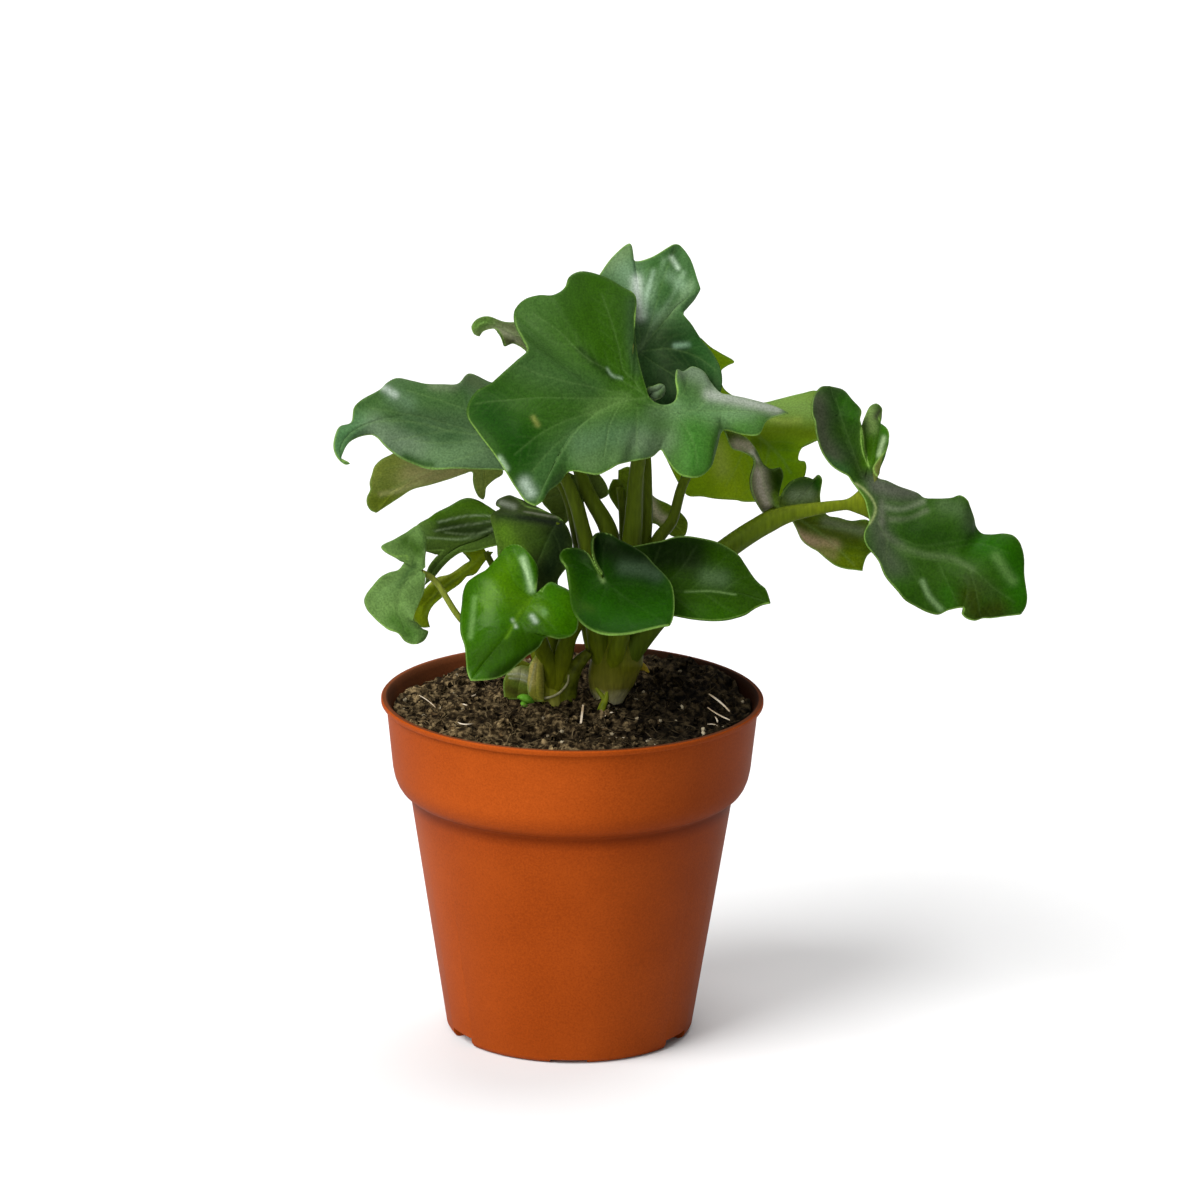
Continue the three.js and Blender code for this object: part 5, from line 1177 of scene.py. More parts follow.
LEAF_RIGHT_INNER = dict(
    front=-16, lean=(-0.08, 0.15), rise=-0.06, shows_underside=True,
    bays=[
        dict(spine=[(44, 162.5)],
             a=[(41.3, 165.4), (43.5, 160.5)],
             b=[(41.3, 165.4), (45, 164.6)]),
        dict(spine=[(47, 160.5), (50.5, 157.5), (52.5, 151), (54.5, 146)],
             a=[(46, 159.6), (49.6, 157.5, 1), (48.7, 152.3, 3), (48.9, 149.2, 3), (50.1, 146.1, 2)],
             b=[(47.9, 163.2), (50.5, 160), (52.5, 156), (54.9, 154.6), (57.2, 155.2, -2),
                (57.9, 153.1, -3), (57.3, 150, -2), (56.8, 147.2)]),
        dict(spine=[(57, 144), (59.5, 143)],
             a=[(52.7, 142.3), (57, 140), (60.1, 140.6)],
             b=[(57.4, 147.6, 1), (58.1, 149.2, 3), (60, 151.3, 4), (62, 152.3, 4), (64.3, 152.7, 3),
                (66.7, 152.1, 1), (67.4, 153.2), (68, 153.3), (68.8, 152.1), (68.5, 149.4), (68.3, 147.4)]),
        dict(spine=[(63, 141), (70, 136), (76, 131)],
             a=[(61.4, 138.8), (63.3, 135), (65.7, 133.1), (67.7, 132), (70.2, 129.9), (72.6, 128.2),
                (75.4, 127.3), (78.1, 127)],
             b=[(68.9, 144.1), (70.6, 142), (73.4, 141.5), (76.9, 140.6), (81.7, 140.8), (84, 137),
                (83.5, 133), (81.5, 130.9), (80.6, 128.5)]),
    ],
    tip=(80.3, 126.7),
    veins=[
        [(44, 162.5), (50.5, 157.5), (52.5, 151), (54.5, 146), (59.5, 143), (70, 136), (78, 128.5)],
        [(60, 143), (64, 147), (66, 151)],
        [(66, 139.5), (74, 138.5), (80, 138)],
    ],
    upper=(0.022, 0.042, 0.0024), under=(0.04, 0.071, 0.0011), rough=0.5,
    marks_and_painted_light=[
        ((0.029, 0.054, 0.0011), 0.9, 2, [(41.4, 164), (43, 160.6)]),
        ((0.24, 0.22, 0.15), 0.9, 1.8, [(45, 161.6), (48.4, 161)]),
        ((0.46, 0.45, 0.36), 0.85, 0.8, [(49.2, 159.6), (50.6, 157.6)]),
        ((0.012, 0.033, 0.00022), 0.9, 1.3, [(50.8, 159.6), (53.6, 155)]),
        ((0.33, 0.3, 0.23), 0.95, 2.3, [(50.8, 153.6), (51.4, 150), (53, 145.6)]),
        ((0.11, 0.11, 0.052), 0.8, 0.9, [(49, 153), (49.4, 149), (52, 144.4)]),
        ((0.014, 0.036, 0.00031), 0.95, 2, [(56, 153.6), (56.6, 150)]),
        ((0.07, 0.14, 0.0016), 0.8, 1.2, [(55.4, 147.6), (56, 145)]),
        ((0.01, 0.042, 0.0004), 0.9, 2.6, [(59, 150), (62.6, 151.4), (66, 151)]),
        ((0.13, 0.18, 0.09), 0.85, 2.2, [(61, 147.6), (65, 148)]),
        ((0.0094, 0.06, 0.0012), 0.85, 1.1, [(67.4, 153), (67.6, 150)]),
        ((0.33, 0.26, 0.16), 0.85, 1.5, [(58.6, 139.4), (61, 137.6)]),
        ((0.27, 0.19, 0.11), 0.9, 2, [(62, 136.4), (67, 134.6), (72, 133.6)]),
        ((0.031, 0.046, 0.00024), 0.9, 1.9, [(63, 140.6), (70, 138.6), (78, 135.6)]),
        ((0.08, 0.1, 0.048), 0.85, 1.6, [(70, 140.6), (80, 138)]),
        ((0.092, 0.14, 0.00048), 0.9, 3.2, [(70, 130.6), (78, 129)]),
        ((0.19, 0.17, 0.058), 0.7, 1.4, [(66, 132), (72, 131)]),
    ],
)

LEAF_RIGHT = dict(
    front=-12.5, lean=(0.12, -0.35), rise=0.05,
    bays=[
        dict(spine=[(73, 170)],
             a=[(70.5, 178.1, -1), (68.3, 177.9), (67.1, 176.8), (66, 174.9), (65.5, 172.2, 2),
                (65.7, 169.9, 2)],
             b=[(70.5, 178.1, -1), (74.1, 177.2, -2), (75.1, 176.5, -2), (76.9, 174.4, -1), (79.5, 171.4),
                (79.2, 168.9, 2)]),
        dict(spine=[(75, 163), (77.5, 157.5), (80, 152)],
             a=[(66.5, 168, 2), (66.9, 164.9, 1), (68.5, 159.9), (71.2, 156.1), (73.6, 154.4),
                (75.9, 153.2)],
             b=[(79.7, 166.6, 2), (80.2, 163.5, 2), (80.5, 160.4, 1), (81.1, 157.4), (81.6, 155.6)]),
        dict(spine=[(81.6, 152), (83.5, 149.5)],
             a=[(77, 151.6), (78.8, 149.2), (80.6, 146.6)],
             b=[(79.8, 160, -4), (79.4, 165.4, -4), (80.2, 168.9, -5), (81.2, 171.4, -7), (82.2, 172.8, -8),
                (83.8, 173.3, -9), (85.2, 171.9, -9), (84.2, 168.8, -7), (86.8, 166.4, -4),
                (87.3, 164.1, -2), (86.7, 161, -1), (84.4, 157.9), (82.9, 155.2)]),
        dict(spine=[(85.5, 146), (87, 142.5), (90, 138), (95, 134)],
             a=[(81.4, 143.6), (82, 140.4), (80.8, 137.8), (80.6, 135.6, 1), (81.3, 133.8, 1),
                (84.6, 129.6), (86.6, 125.2), (90.1, 121.1)],
             b=[(84.4, 152.7), (86.7, 152), (90.2, 150.4, -1), (95.3, 148.6, -3), (97.2, 147.3, -3),
                (100.3, 147.1, -1)]),
        dict(spine=[(101, 131), (107, 128, 2), (113, 123.5, 3), (119, 118.5, 2)],
             a=[(92.1, 118.8, -1), (95.2, 117, -3), (98.3, 115.5, -4), (101.4, 114.8, -4),
                (104.5, 116.1, -2), (108.6, 116.6, 1), (108.1, 115.1, 2), (109.2, 113.9, 2),
                (111.5, 113.2, 2), (113.8, 113.9, 1), (116.2, 114), (120.4, 114.6)],
             b=[(105, 147.4, 1), (107.3, 148.1, 2), (109.2, 146.9, 2), (110, 145, 1), (111.1, 141.9, -1),
                (111.8, 139.2, -3), (113.4, 137.5, -4), (115.9, 137.2, -4), (119.8, 137.5, -3),
                (122.1, 137, -3), (123.7, 135.5, -3), (124.7, 133.2, -3), (125.2, 130.5, -3),
                (125.3, 126.2, -2), (125.8, 122.8, -1), (126.2, 119.8), (125.8, 117.3)]),
    ],
    tip=(124.5, 115.1),
    veins=[
        [(83, 146), (83, 143), (85, 139), (88.4, 133.8), (93.7, 131), (99.9, 130), (106, 129),
            (111.8, 126.7), (116.7, 122.4), (122.5, 118.5)],
        [(84, 144), (88, 140.5), (93.6, 141), (98.4, 143), (103, 146)],
        [(85, 146), (92, 146), (98, 146.8)],
        [(90, 136), (97, 134), (104, 135), (112, 136.5)],
        [(97, 131.5), (105, 133.5), (113, 134.5), (121, 132)],
        [(92, 131), (95, 125), (99, 120), (104, 116.5)],
        [(87, 135), (87, 129), (89, 124)],
        [(101, 130), (104, 124), (107, 118)],
        [(110, 127.5), (112, 121), (113, 115)],
        [(80, 153), (77.5, 160), (75, 167), (72, 175)],
        [(82, 155), (83, 163), (84, 170)],
    ],
    upper=(0.014, 0.046, 0.0021), under=(0.075, 0.089, 0.018), rough=0.4, shine=0.05, vein_tint=0.06,
    marks_and_painted_light=[
        ((0.011, 0.023, 0.0067), 0.9, 7, [(72, 173), (75, 161)]),
        ((0.035, 0.037, 0.025), 0.75, 2.4, [(67.4, 174), (69, 164), (72, 158)]),
        ((0.011, 0.054, 0.00049), 0.85, 3, [(75, 173.4), (77.4, 170)]),
        ((0.014, 0.044, 0.0017), 0.6, 3, [(77, 163), (74, 166)]),
        ((0.02, 0.064, 0.014), 0.7, 1.5, [(70, 157.4), (75, 154.8)]),
        ((0.0047, 0.0084, 0.0011), 0.85, 2.2, [(79.4, 157), (80.6, 154)]),
        ((0.029, 0.09, 0.00085), 0.95, 2.6, [(82, 164), (82, 157)]),
        ((0.11, 0.18, 0.044), 0.95, 1.8, [(81.8, 171.4), (82.6, 166.4)]),
        ((0.018, 0.078, 0.0011), 0.9, 1.6, [(86, 167), (86.4, 163.6)]),
        ((0.21, 0.29, 0.14), 0.9, 0.7, [(86, 163.6), (84.6, 159)]),
        ((0.025, 0.028, 0.014), 0.9, 0.9, [(84.6, 171), (83.6, 169.6)]),
        ((0.065, 0.069, 0.052), 0.85, 3.2, [(84, 150.6), (89, 149.2), (94, 149)]),
        ((0.034, 0.047, 0.025), 0.9, 3.6, [(84.4, 141), (86, 133), (90, 126.4)]),
        ((0.07, 0.077, 0.053), 0.7, 1, [(85.4, 146), (85.6, 140)]),
        ((0.037, 0.086, 0.0088), 0.95, 1.5, [(79, 149.6), (81, 146.6), (82, 142.6)]),
        ((0.16, 0.2, 0.073), 0.95, 0.4, [(78.2, 151), (80.6, 149.3), (82.7, 146.8), (83.8, 144.3),
            (83.1, 141.6), (82.2, 139.9)]),
        ((0.095, 0.12, 0.069), 0.75, 0.9, [(86, 144.6), (91, 144), (97, 146)]),
        ((0.079, 0.1, 0.054), 0.7, 0.9, [(88, 141.2), (93, 141.4), (98, 143.6)]),
        ((0.061, 0.072, 0.045), 0.6, 1.2, [(86, 137.4), (91, 134)]),
        ((0.0061, 0.028, 0.00072), 0.85, 4.2, [(94, 138.4), (103, 136)]),
        ((0.053, 0.09, 0.029), 0.75, 1, [(91, 133.4), (98, 131.4), (105, 130.6), (111, 127.4)]),
        ((0.017, 0.034, 0.0057), 0.7, 2.4, [(110, 125), (117, 121)]),
        ((0.01, 0.063, 0.0003), 0.9, 5, [(113, 135), (120, 133), (123, 128), (124, 120)]),
        ((0.066, 0.14, 0.032), 0.8, 1.4, [(117.4, 131), (120, 127), (122, 124.4)]),
        ((0.04, 0.075, 0.024), 0.8, 2.6, [(103, 145.4), (108, 143.6), (110, 140)]),
        ((0.013, 0.049, 0.0014), 0.85, 4, [(91, 122.4), (95, 119.6)]),
        ((0.12, 0.2, 0.08), 0.8, 0.8, [(97, 124), (99, 120), (102.4, 116.4)]),
        ((0.013, 0.064, 0.0014), 0.8, 2.4, [(104, 121), (105, 118)]),
        ((0.014, 0.024, 0.00046), 0.9, 3.4, [(110.6, 120), (112, 115.6), (118, 116.4)]),
    ],
)

LEAF_FRONT_LEFT = dict(
    front=16, lean=(0, -0.75), rise=0.07,
    bays=[
        dict(spine=[(-10.7, 119)],
             a=[(-11.1, 120.8), (-10.2, 123.9), (-10.2, 126.7, 1), (-11.6, 129.4, 2), (-13.6, 131.7, 2),
                (-15.6, 133, 1), (-17.5, 133), (-19.4, 132), (-20.6, 130.4), (-22.9, 127.7)],
             b=[(-9.1, 119.8), (-8, 121.7), (-6.4, 122.7), (-4.1, 121.8), (-1.3, 120.3)]),
        dict(spine=[(-12.5, 116), (-15.5, 111.5), (-20, 106), (-24.5, 100.5)],
             a=[(-24.4, 126), (-27.1, 124.4, -1), (-29.8, 122.2, -3), (-30.8, 119.5, -4),
                (-31.1, 116.4, -5), (-31.5, 112.2, -5), (-31.4, 108.3, -4), (-30.2, 104.4, -2),
                (-29.8, 100.6, -1), (-29.4, 97.1)],
             b=[(0.5, 117), (1.3, 113.5, -1), (1.2, 110.4, -2), (0.8, 109.2, -2), (-0.5, 107.8, -2),
                (-4, 107, -2), (-7.5, 107.5, -2), (-9.8, 104.3, -2), (-12.9, 102, -1), (-15.6, 99.6),
                (-17.5, 97.8), (-20.2, 96.1), (-22.9, 95.4), (-26.8, 95)]),
    ],
    tip=(-28.5, 95),
    veins=[
        [(-10.7, 119), (-13, 115), (-15.5, 111), (-20, 105.5), (-25, 99.5), (-28, 95.5)],
        [(-11.5, 117.5), (-20, 118), (-28, 116.5)],
        [(-12.5, 116), (-21, 112), (-28.5, 107)],
        [(-11, 118), (-17, 123), (-19, 129)],
        [(-11, 120), (-12.5, 125), (-13.5, 130)],
        [(-10.5, 118.5), (-4, 116), (0, 112)],
        [(-12, 116), (-7, 111), (-4, 108)],
        [(-16, 110.5), (-23, 107), (-28, 102)],
        [(-15, 112), (-13, 107), (-12, 103)],
    ],
    upper=(0.023, 0.09, 0.00012), under=(0.059, 0.13, 0.0077),
    rough=0.24, shine=0.14, vein_tint=0.02, through=0.22,
    marks_and_painted_light=[
        ((0.048, 0.13, 0.00021), 0.75, 4.4, [(-20, 121), (-14, 116.5), (-6, 115)]),
        ((0.06, 0.16, 0.00081), 0.75, 3, [(-24, 117), (-21, 123), (-18, 127.6)]),
        ((0.015, 0.049, 6.6e-05), 0.85, 4.4, [(-25, 101), (-18, 104.6), (-11, 108)]),
        ((0.0058, 0.018, 5.8e-05), 0.9, 1.9, [(-22, 96.4), (-15.6, 100.4), (-10, 104.6)]),
        ((0.19, 0.34, 0.1), 0.45, 0.8, [(-27.4, 118), (-28, 112), (-28.6, 107)]),
        ((0.28, 0.42, 0.21), 0.85, 0.9, [(-14.2, 129), (-12.8, 124.4), (-11.8, 120.4)]),
        ((0.32, 0.4, 0.29), 0.9, 0.45, [(-17, 112), (-16, 110)]),
        ((0.32, 0.4, 0.31), 0.9, 0.7, [(-11.5, 113), (-10.6, 111.6)]),
        ((0.12, 0.24, 0.073), 0.7, 0.8, [(-8.3, 114.6), (-8, 114)]),
        ((0.086, 0.2, 0.0052), 0.6, 0.6, [(-12, 118), (-15, 114), (-18.6, 107)]),
        ((0.024, 0.11, 0.00076), 0.6, 2.4, [(-6, 119), (-4, 114)]),
    ],
)

LEAF_FRONT_CENTRE = dict(
    front=20, lean=(0, -0.8), rise=-0.06,
    bays=[
        dict(spine=[(8.2, 123.8)],
             a=[(7.3, 124.9), (5.8, 127), (4.9, 129), (3.4, 131.2), (0.8, 132.3), (-0.8, 132.4),
                (-3.1, 131.8), (-4.1, 130.2), (-3.8, 128.7), (-2.6, 127.2), (-1.8, 123.3)],
             b=[(7.9, 124.9, 1), (6.4, 127, 2), (5.5, 128.9, 2), (4.8, 131.8, 2), (4.9, 134.9, 1),
                (6, 136.5), (7.5, 136.7), (10.2, 136.2), (12.2, 134.9), (14.1, 134)]),
        dict(spine=[(11, 121.5), (15, 118.5), (19.5, 115.2), (23.5, 112.7)],
             a=[(-1.2, 119.4), (-0.6, 115.9, 1), (0.6, 113.3, 2), (2.6, 111, 3), (5.7, 109.1, 3),
                (8.8, 108.2, 4), (11.9, 108.1, 4), (15.8, 108.5, 3), (20.1, 109.5, 2), (24.2, 110.5, 1)],
             b=[(17, 132.5), (20, 130.5), (22.1, 128.2), (25.6, 124.7, -1), (27.2, 122.4, -1),
                (27.9, 119.3, -1), (28, 115.4), (27.5, 112.5)]),
    ],
    tip=(26.8, 110.9),
    veins=[
        [(8.2, 123.8), (13, 119.5), (19, 115.5), (25.5, 111.5)],
        [(8, 123), (3, 119), (1, 114)],
        [(9, 122), (7, 115), (8, 110)],
        [(12, 120.5), (14, 114), (17, 110)],
        [(9, 124), (14, 127), (20, 128)],
        [(11, 122.5), (19, 122), (26, 120)],
        [(7, 125), (2, 128), (-2, 130)],
        [(8, 126), (8, 131), (9, 135)],
    ],
    upper=(0.0054, 0.031, 0.00012), under=(0.044, 0.062, 0.0046), rough=0.38, shine=0.04, vein_tint=0.02,
    marks_and_painted_light=[
        ((0.00066, 0.0041, 4.4e-05), 0.95, 5.8, [(5, 134), (12, 131.6), (20, 129)]),
        ((0.025, 0.046, 0.023), 0.8, 2.2, [(14, 126.8), (19, 126.2), (23, 124.8)]),
        ((0.0088, 0.054, 0.00023), 0.85, 4.6, [(6, 115), (14, 112), (22, 113.6)]),
        ((0.016, 0.055, 0.00073), 0.7, 1.6, [(-3, 130), (-1, 123), (1, 115)]),
        ((0.096, 0.16, 0.046), 0.8, 0.6, [(7.2, 124.6), (8.2, 123)]),
        ((0.015, 0.04, 0.0013), 0.7, 0.45, [(4.4, 134), (5.4, 128.6), (7.4, 124.4)]),
        ((0.021, 0.055, 0.0034), 0.6, 1.2, [(3, 116), (5, 115)]),
    ],
)

LEAF_FRONT_RIGHT = dict(
    front=10, lean=(0.05, -0.7), rise=0.06,
    bays=[
        dict(spine=[(18, 122)],
             a=[(16.5, 124), (13, 128), (13, 132), (17.7, 133.1)],
             b=[(16.5, 121), (14.5, 117), (17, 114), (22, 113)]),
        dict(spine=[(22, 121.2), (29.2, 120.5), (36, 120.8), (43.5, 120.6), (49.5, 119.4)],
             a=[(21.2, 133.9), (24.3, 134.5), (27.8, 135.6), (31, 135.9), (34.5, 135.5), (39.5, 134.4),
                (42.3, 133.1), (45.6, 130.9), (47.7, 128), (50.1, 124.5), (51.7, 122.8), (53.3, 121.5),
                (54.3, 119.2)],
             b=[(27.5, 113.6), (30.1, 113.2), (33.2, 112.7), (38.2, 112.3), (42.1, 112.5), (45.2, 113.2),
                (48, 114.2), (50.3, 115.8), (52.6, 116.9)]),
    ],
    tip=(54.8, 117.4),
    veins=[
        [(18, 122), (30, 120.6), (44, 120.7), (54, 117.5)],
        [(24, 121), (30, 127), (34, 133)],
        [(32, 120.6), (39, 127), (43, 131)],
        [(41, 120.7), (46, 124), (49, 125)],
        [(26, 120.8), (32, 115.5), (36, 113)],
        [(35, 120.6), (41, 116.5), (45, 114.5)],
        [(20, 122), (22, 128), (24, 133)],
    ],
    upper=(0.011, 0.036, 0.00018), under=(0.047, 0.062, 0.0046), rough=0.38, shine=0.04, vein_tint=0.04,
    marks_and_painted_light=[
        ((0.0015, 0.0064, 4.5e-05), 0.92, 4.6, [(22, 133), (33, 133)]),
        ((0.0012, 0.0049, 4.4e-05), 0.9, 4, [(24, 129.6), (33, 129)]),
        ((0.042, 0.076, 0.029), 0.75, 2.6, [(37, 124.6), (41, 124)]),
        ((0.095, 0.16, 0.049), 0.7, 0.28, [(31, 120.2), (38, 120.5), (45, 119.6)]),
        ((0.015, 0.061, 0.00029), 0.7, 4, [(32, 114), (42, 113.4)]),
        ((0.16, 0.15, 0.0046), 0.8, 0.5, [(51, 115.7), (52.4, 115.5)]),
    ],
)

LEAF_MIDDLE = dict(
    front=-1, lean=(0, -0.15), rise=0.05,
    bays=[
        dict(spine=[(-4, 140.5)],
             a=[(-5.6, 141.4, -2), (-9, 142.4, -5), (-13.8, 143.6, -8), (-15.7, 145.4, -11),
                (-18.1, 146.7, -13), (-21.2, 145.6, -12), (-22, 144.2, -9), (-20.8, 143, -5)],
             b=[(-3, 139.5), (-1.5, 137), (-0.6, 133.5), (-0.6, 130)]),
        dict(spine=[(-6, 137.5), (-9, 131), (-11.5, 124.5)],
             a=[(-23.4, 140.9), (-22.6, 137), (-21.6, 132.8), (-21.3, 129.6), (-20, 125), (-17, 120)],
             b=[(-2, 127), (-3.9, 124.4), (-5, 122.5), (-8, 120.6), (-10.5, 118.5)]),
    ],
    tip=(-13, 116.5),
    veins=[
        [(-4, 140.5), (-6, 137.5), (-9, 131), (-12, 122)],
        [(-6, 138), (-14, 139), (-20, 143)],
        [(-7, 136), (-14, 133), (-21, 131)],
        [(-6, 137), (-4, 132), (-3, 127)],
        [(-10, 129), (-15, 127), (-19, 124)],
    ],
    upper=(0.04, 0.067, 0.011), under=(0.097, 0.12, 0.031), rough=0.42, shine=0.03, vein_tint=0.05,
    marks_and_painted_light=[
        ((0.0025, 0.0076, 0.0023), 0.92, 5.4, [(-8, 133), (-4, 135.6), (-7, 126)]),
        ((0.041, 0.085, 0.0084), 0.6, 3, [(-14, 138), (-10, 134)]),
        ((0.3, 0.34, 0.25), 0.95, 0.9, [(-20.4, 144.4), (-17, 143.4)]),
        ((0.01, 0.014, 0.0092), 0.9, 1.2, [(-21, 140.6), (-12, 140.2), (-4, 139.2)]),
        ((0.2, 0.21, 0.15), 0.6, 0.25, [(-14, 142), (-8, 141.2), (-3, 140.6)]),
        ((0.074, 0.16, 0.009), 0.85, 3.4, [(-20, 136.6), (-16.5, 131)]),
    ],
)

LEAF_MID_LEFT = dict(
    front=-7, lean=(-0.1, -0.2), rise=0.06,
    bays=[
        dict(spine=[(-19, 138)],
             a=[(-18, 140), (-17.5, 142), (-20.2, 141.5)],
             b=[(-18, 136), (-19, 134), (-21.5, 132.8)]),
        dict(spine=[(-22, 136.5), (-27, 134), (-32, 132.3), (-35.5, 130), (-38.5, 126.8)],
             a=[(-22.7, 142.8), (-24.7, 144.1, -2), (-27, 145.3, -3), (-29.6, 145.9, -4),
                (-31.7, 145.4, -4), (-34.8, 143.6, -3), (-38.7, 141.6, -1), (-40.6, 140.2), (-43.5, 138.5),
                (-46, 135), (-44.5, 132), (-41, 131), (-36.6, 131.2), (-38.7, 129.2), (-40.7, 126.3)],
             b=[(-23.7, 132.2), (-28.9, 130.9), (-31.5, 130.7), (-34.2, 129), (-36.8, 126.4),
                (-38.8, 123.9)]),
    ],
    tip=(-41.5, 121.5),
    veins=[
        [(-19, 138), (-24, 135.5), (-30, 133), (-36, 129.5), (-40, 123)],
        [(-20, 139), (-26, 141.5), (-33, 143)],
        [(-22, 138), (-30, 137.5), (-38, 137)],
        [(-26, 135), (-34, 135), (-42, 134)],
    ],
    upper=(0.045, 0.086, 0.01), under=(0.085, 0.11, 0.027), rough=0.4, vein_tint=0.05,
    marks_and_painted_light=[
        ((0.051, 0.13, 0.0038), 0.9, 3.4, [(-39, 141.6), (-30, 144.4), (-25, 142.4)]),
        ((0.0086, 0.018, 0.0034), 0.9, 2.9, [(-37, 137.4), (-28, 137), (-21, 138)]),
        ((0.074, 0.15, 0.039), 0.8, 2.6, [(-51, 132), (-44, 135.4)]),
        ((0.29, 0.37, 0.22), 0.5, 0.25, [(-22, 141), (-30, 140.8), (-38, 139)]),
        ((0.21, 0.3, 0.14), 0.5, 0.3, [(-21, 138.5), (-30, 134.6), (-41, 134.8)]),
        ((0.18, 0.23, 0.13), 0.5, 0.25, [(-23, 139.6), (-32, 138), (-39, 136.6)]),
        ((0.14, 0.19, 0.09), 0.5, 0.25, [(-22, 137.2), (-29, 135.8), (-36, 136.2)]),
    ],
)

LEAF_LOW_LEFT = dict(
    front=6, lean=(0, -0.3), rise=0.05,
    bays=[
        dict(spine=[(-42.5, 125.5)],
             a=[(-41.4, 126.5), (-41.5, 129.5), (-41.3, 131.9), (-41.6, 135), (-43.3, 138.1),
                (-47.2, 135.9), (-50.3, 134.1), (-53.8, 132, 2), (-49.6, 129.2), (-46.6, 129.4)],
             b=[(-41.3, 124.5)]),
        dict(spine=[(-45.5, 122.5), (-48, 118.5), (-48.5, 113.5), (-46, 109.5), (-43.8, 107.4)],
             a=[(-47.7, 127.2), (-49, 125.7), (-51.4, 125), (-53.7, 123.8), (-56, 121.2, -1),
                (-57.9, 118.5, -2), (-58.3, 116.9, -3), (-57.5, 114.6, -3), (-55.5, 112.3, -2),
                (-53.2, 110.2, -1), (-51.4, 108.9), (-48.9, 108.1), (-46.9, 105.9, -1), (-45, 105.1, -1)],
             b=[(-41.4, 123.3), (-41.8, 119.4, -1), (-43.1, 116.3), (-44.6, 112, 2), (-43.4, 110.7),
                (-41.5, 109.1, -2), (-40.5, 108.6, -2), (-41.5, 106.2, -1)]),
    ],
    tip=(-43.3, 105.1),
    veins=[
        [(-42.5, 125.5), (-47, 122), (-49, 116), (-47, 109)],
        [(-44, 124.5), (-50, 122), (-55, 119)],
        [(-43, 127), (-46, 132), (-46, 135)],
        [(-48.5, 118), (-53, 115), (-55, 114)],
        [(-46, 121), (-43.5, 117), (-43, 114)],
    ],
    upper=(0.085, 0.16, 0.038), under=(0.089, 0.13, 0.03), rough=0.42,
    marks_and_painted_light=[
        ((0.036, 0.1, 0.01), 0.8, 2.4, [(-50, 111.6), (-45, 107.6)]),
        ((0.031, 0.075, 0.016), 0.7, 0.9, [(-49, 121.4), (-44.6, 127)]),
        ((0.02, 0.056, 0.0025), 0.9, 2.6, [(-47, 133.6), (-43.6, 131.4)]),
        ((0.084, 0.16, 0.041), 0.6, 2, [(-54, 118), (-50, 121)]),
        ((0.2, 0.32, 0.11), 0.8, 0.45, [(-41.6, 131), (-41, 124), (-42.4, 116)]),
    ],
)

LEAF_LOW_BACK = dict(
    front=-13, lean=(-0.25, 0.05), rise=-0.05, shows_underside=True,
    bays=[
        dict(spine=[(-24.5, 131)],
             a=[(-25.5, 132.5), (-28.5, 132)],
             b=[(-22.5, 131), (-23.6, 129.6)]),
        dict(spine=[(-27, 127.8), (-30.5, 125.3), (-35, 122), (-38.5, 119), (-42, 115.5), (-42, 112.5)],
             a=[(-31, 130.9), (-28.9, 128.8), (-30.8, 127.3), (-34.7, 124.6), (-38.2, 123.6), (-41, 121),
                (-43.5, 117.5), (-45, 114), (-44.6, 112.1), (-42.3, 109.8)],
             b=[(-24.2, 129), (-25.5, 127.4), (-27.6, 124.7), (-29.5, 124.3), (-31.8, 121.9), (-34.5, 120),
                (-36.4, 118.4), (-39.5, 115.3), (-40.5, 112.6)]),
    ],
    tip=(-39.9, 109.8),
    veins=[
        [(-24.5, 131), (-30.5, 125.3), (-38.5, 119), (-41.5, 113)],
    ],
    upper=(0.064, 0.11, 0.0027), under=(0.19, 0.27, 0.0044), rough=0.45, through=0.35,
    marks_and_painted_light=[
        ((0.081, 0.11, 0.0018), 0.7, 1.4, [(-42, 117), (-34, 124)]),
        ((0.57, 0.61, 0.098), 0.7, 0.6, [(-40, 122), (-31, 127)]),
    ],
)

LEAF_BACK_LOW = dict(
    front=-21, lean=(0, 0.3), rise=-0.05, shows_underside=True,
    bays=[
        dict(spine=[(12, 151.5)],
             a=[(12, 154), (15, 155)],
             b=[(10.5, 151.5), (9.6, 149.5)]),
        dict(spine=[(14, 148), (18, 144.5), (23, 142.3), (28, 138.8)],
             a=[(19, 151), (22, 146.8), (26.5, 144.5), (29.8, 142.1), (31.4, 139.9), (31.4, 137.8)],
             b=[(9.4, 147.4), (11, 144.5), (13.7, 141.2), (17, 139.3), (22.3, 139.3), (24, 138.2),
                (27.5, 135.8)]),
    ],
    tip=(30.9, 136.1),
    veins=[
        [(12, 151.5), (18, 144.5), (23, 142.3), (29, 138)],
    ],
    upper=(0.039, 0.054, 0.0051), under=(0.12, 0.19, 0.0083), rough=0.5,
    marks_and_painted_light=[
        ((0.064, 0.095, 0.0018), 0.7, 2, [(12, 150), (13, 144)]),
        ((0.61, 0.55, 0.39), 0.8, 1.3, [(21, 146), (23, 142), (26, 140)]),
    ],
)

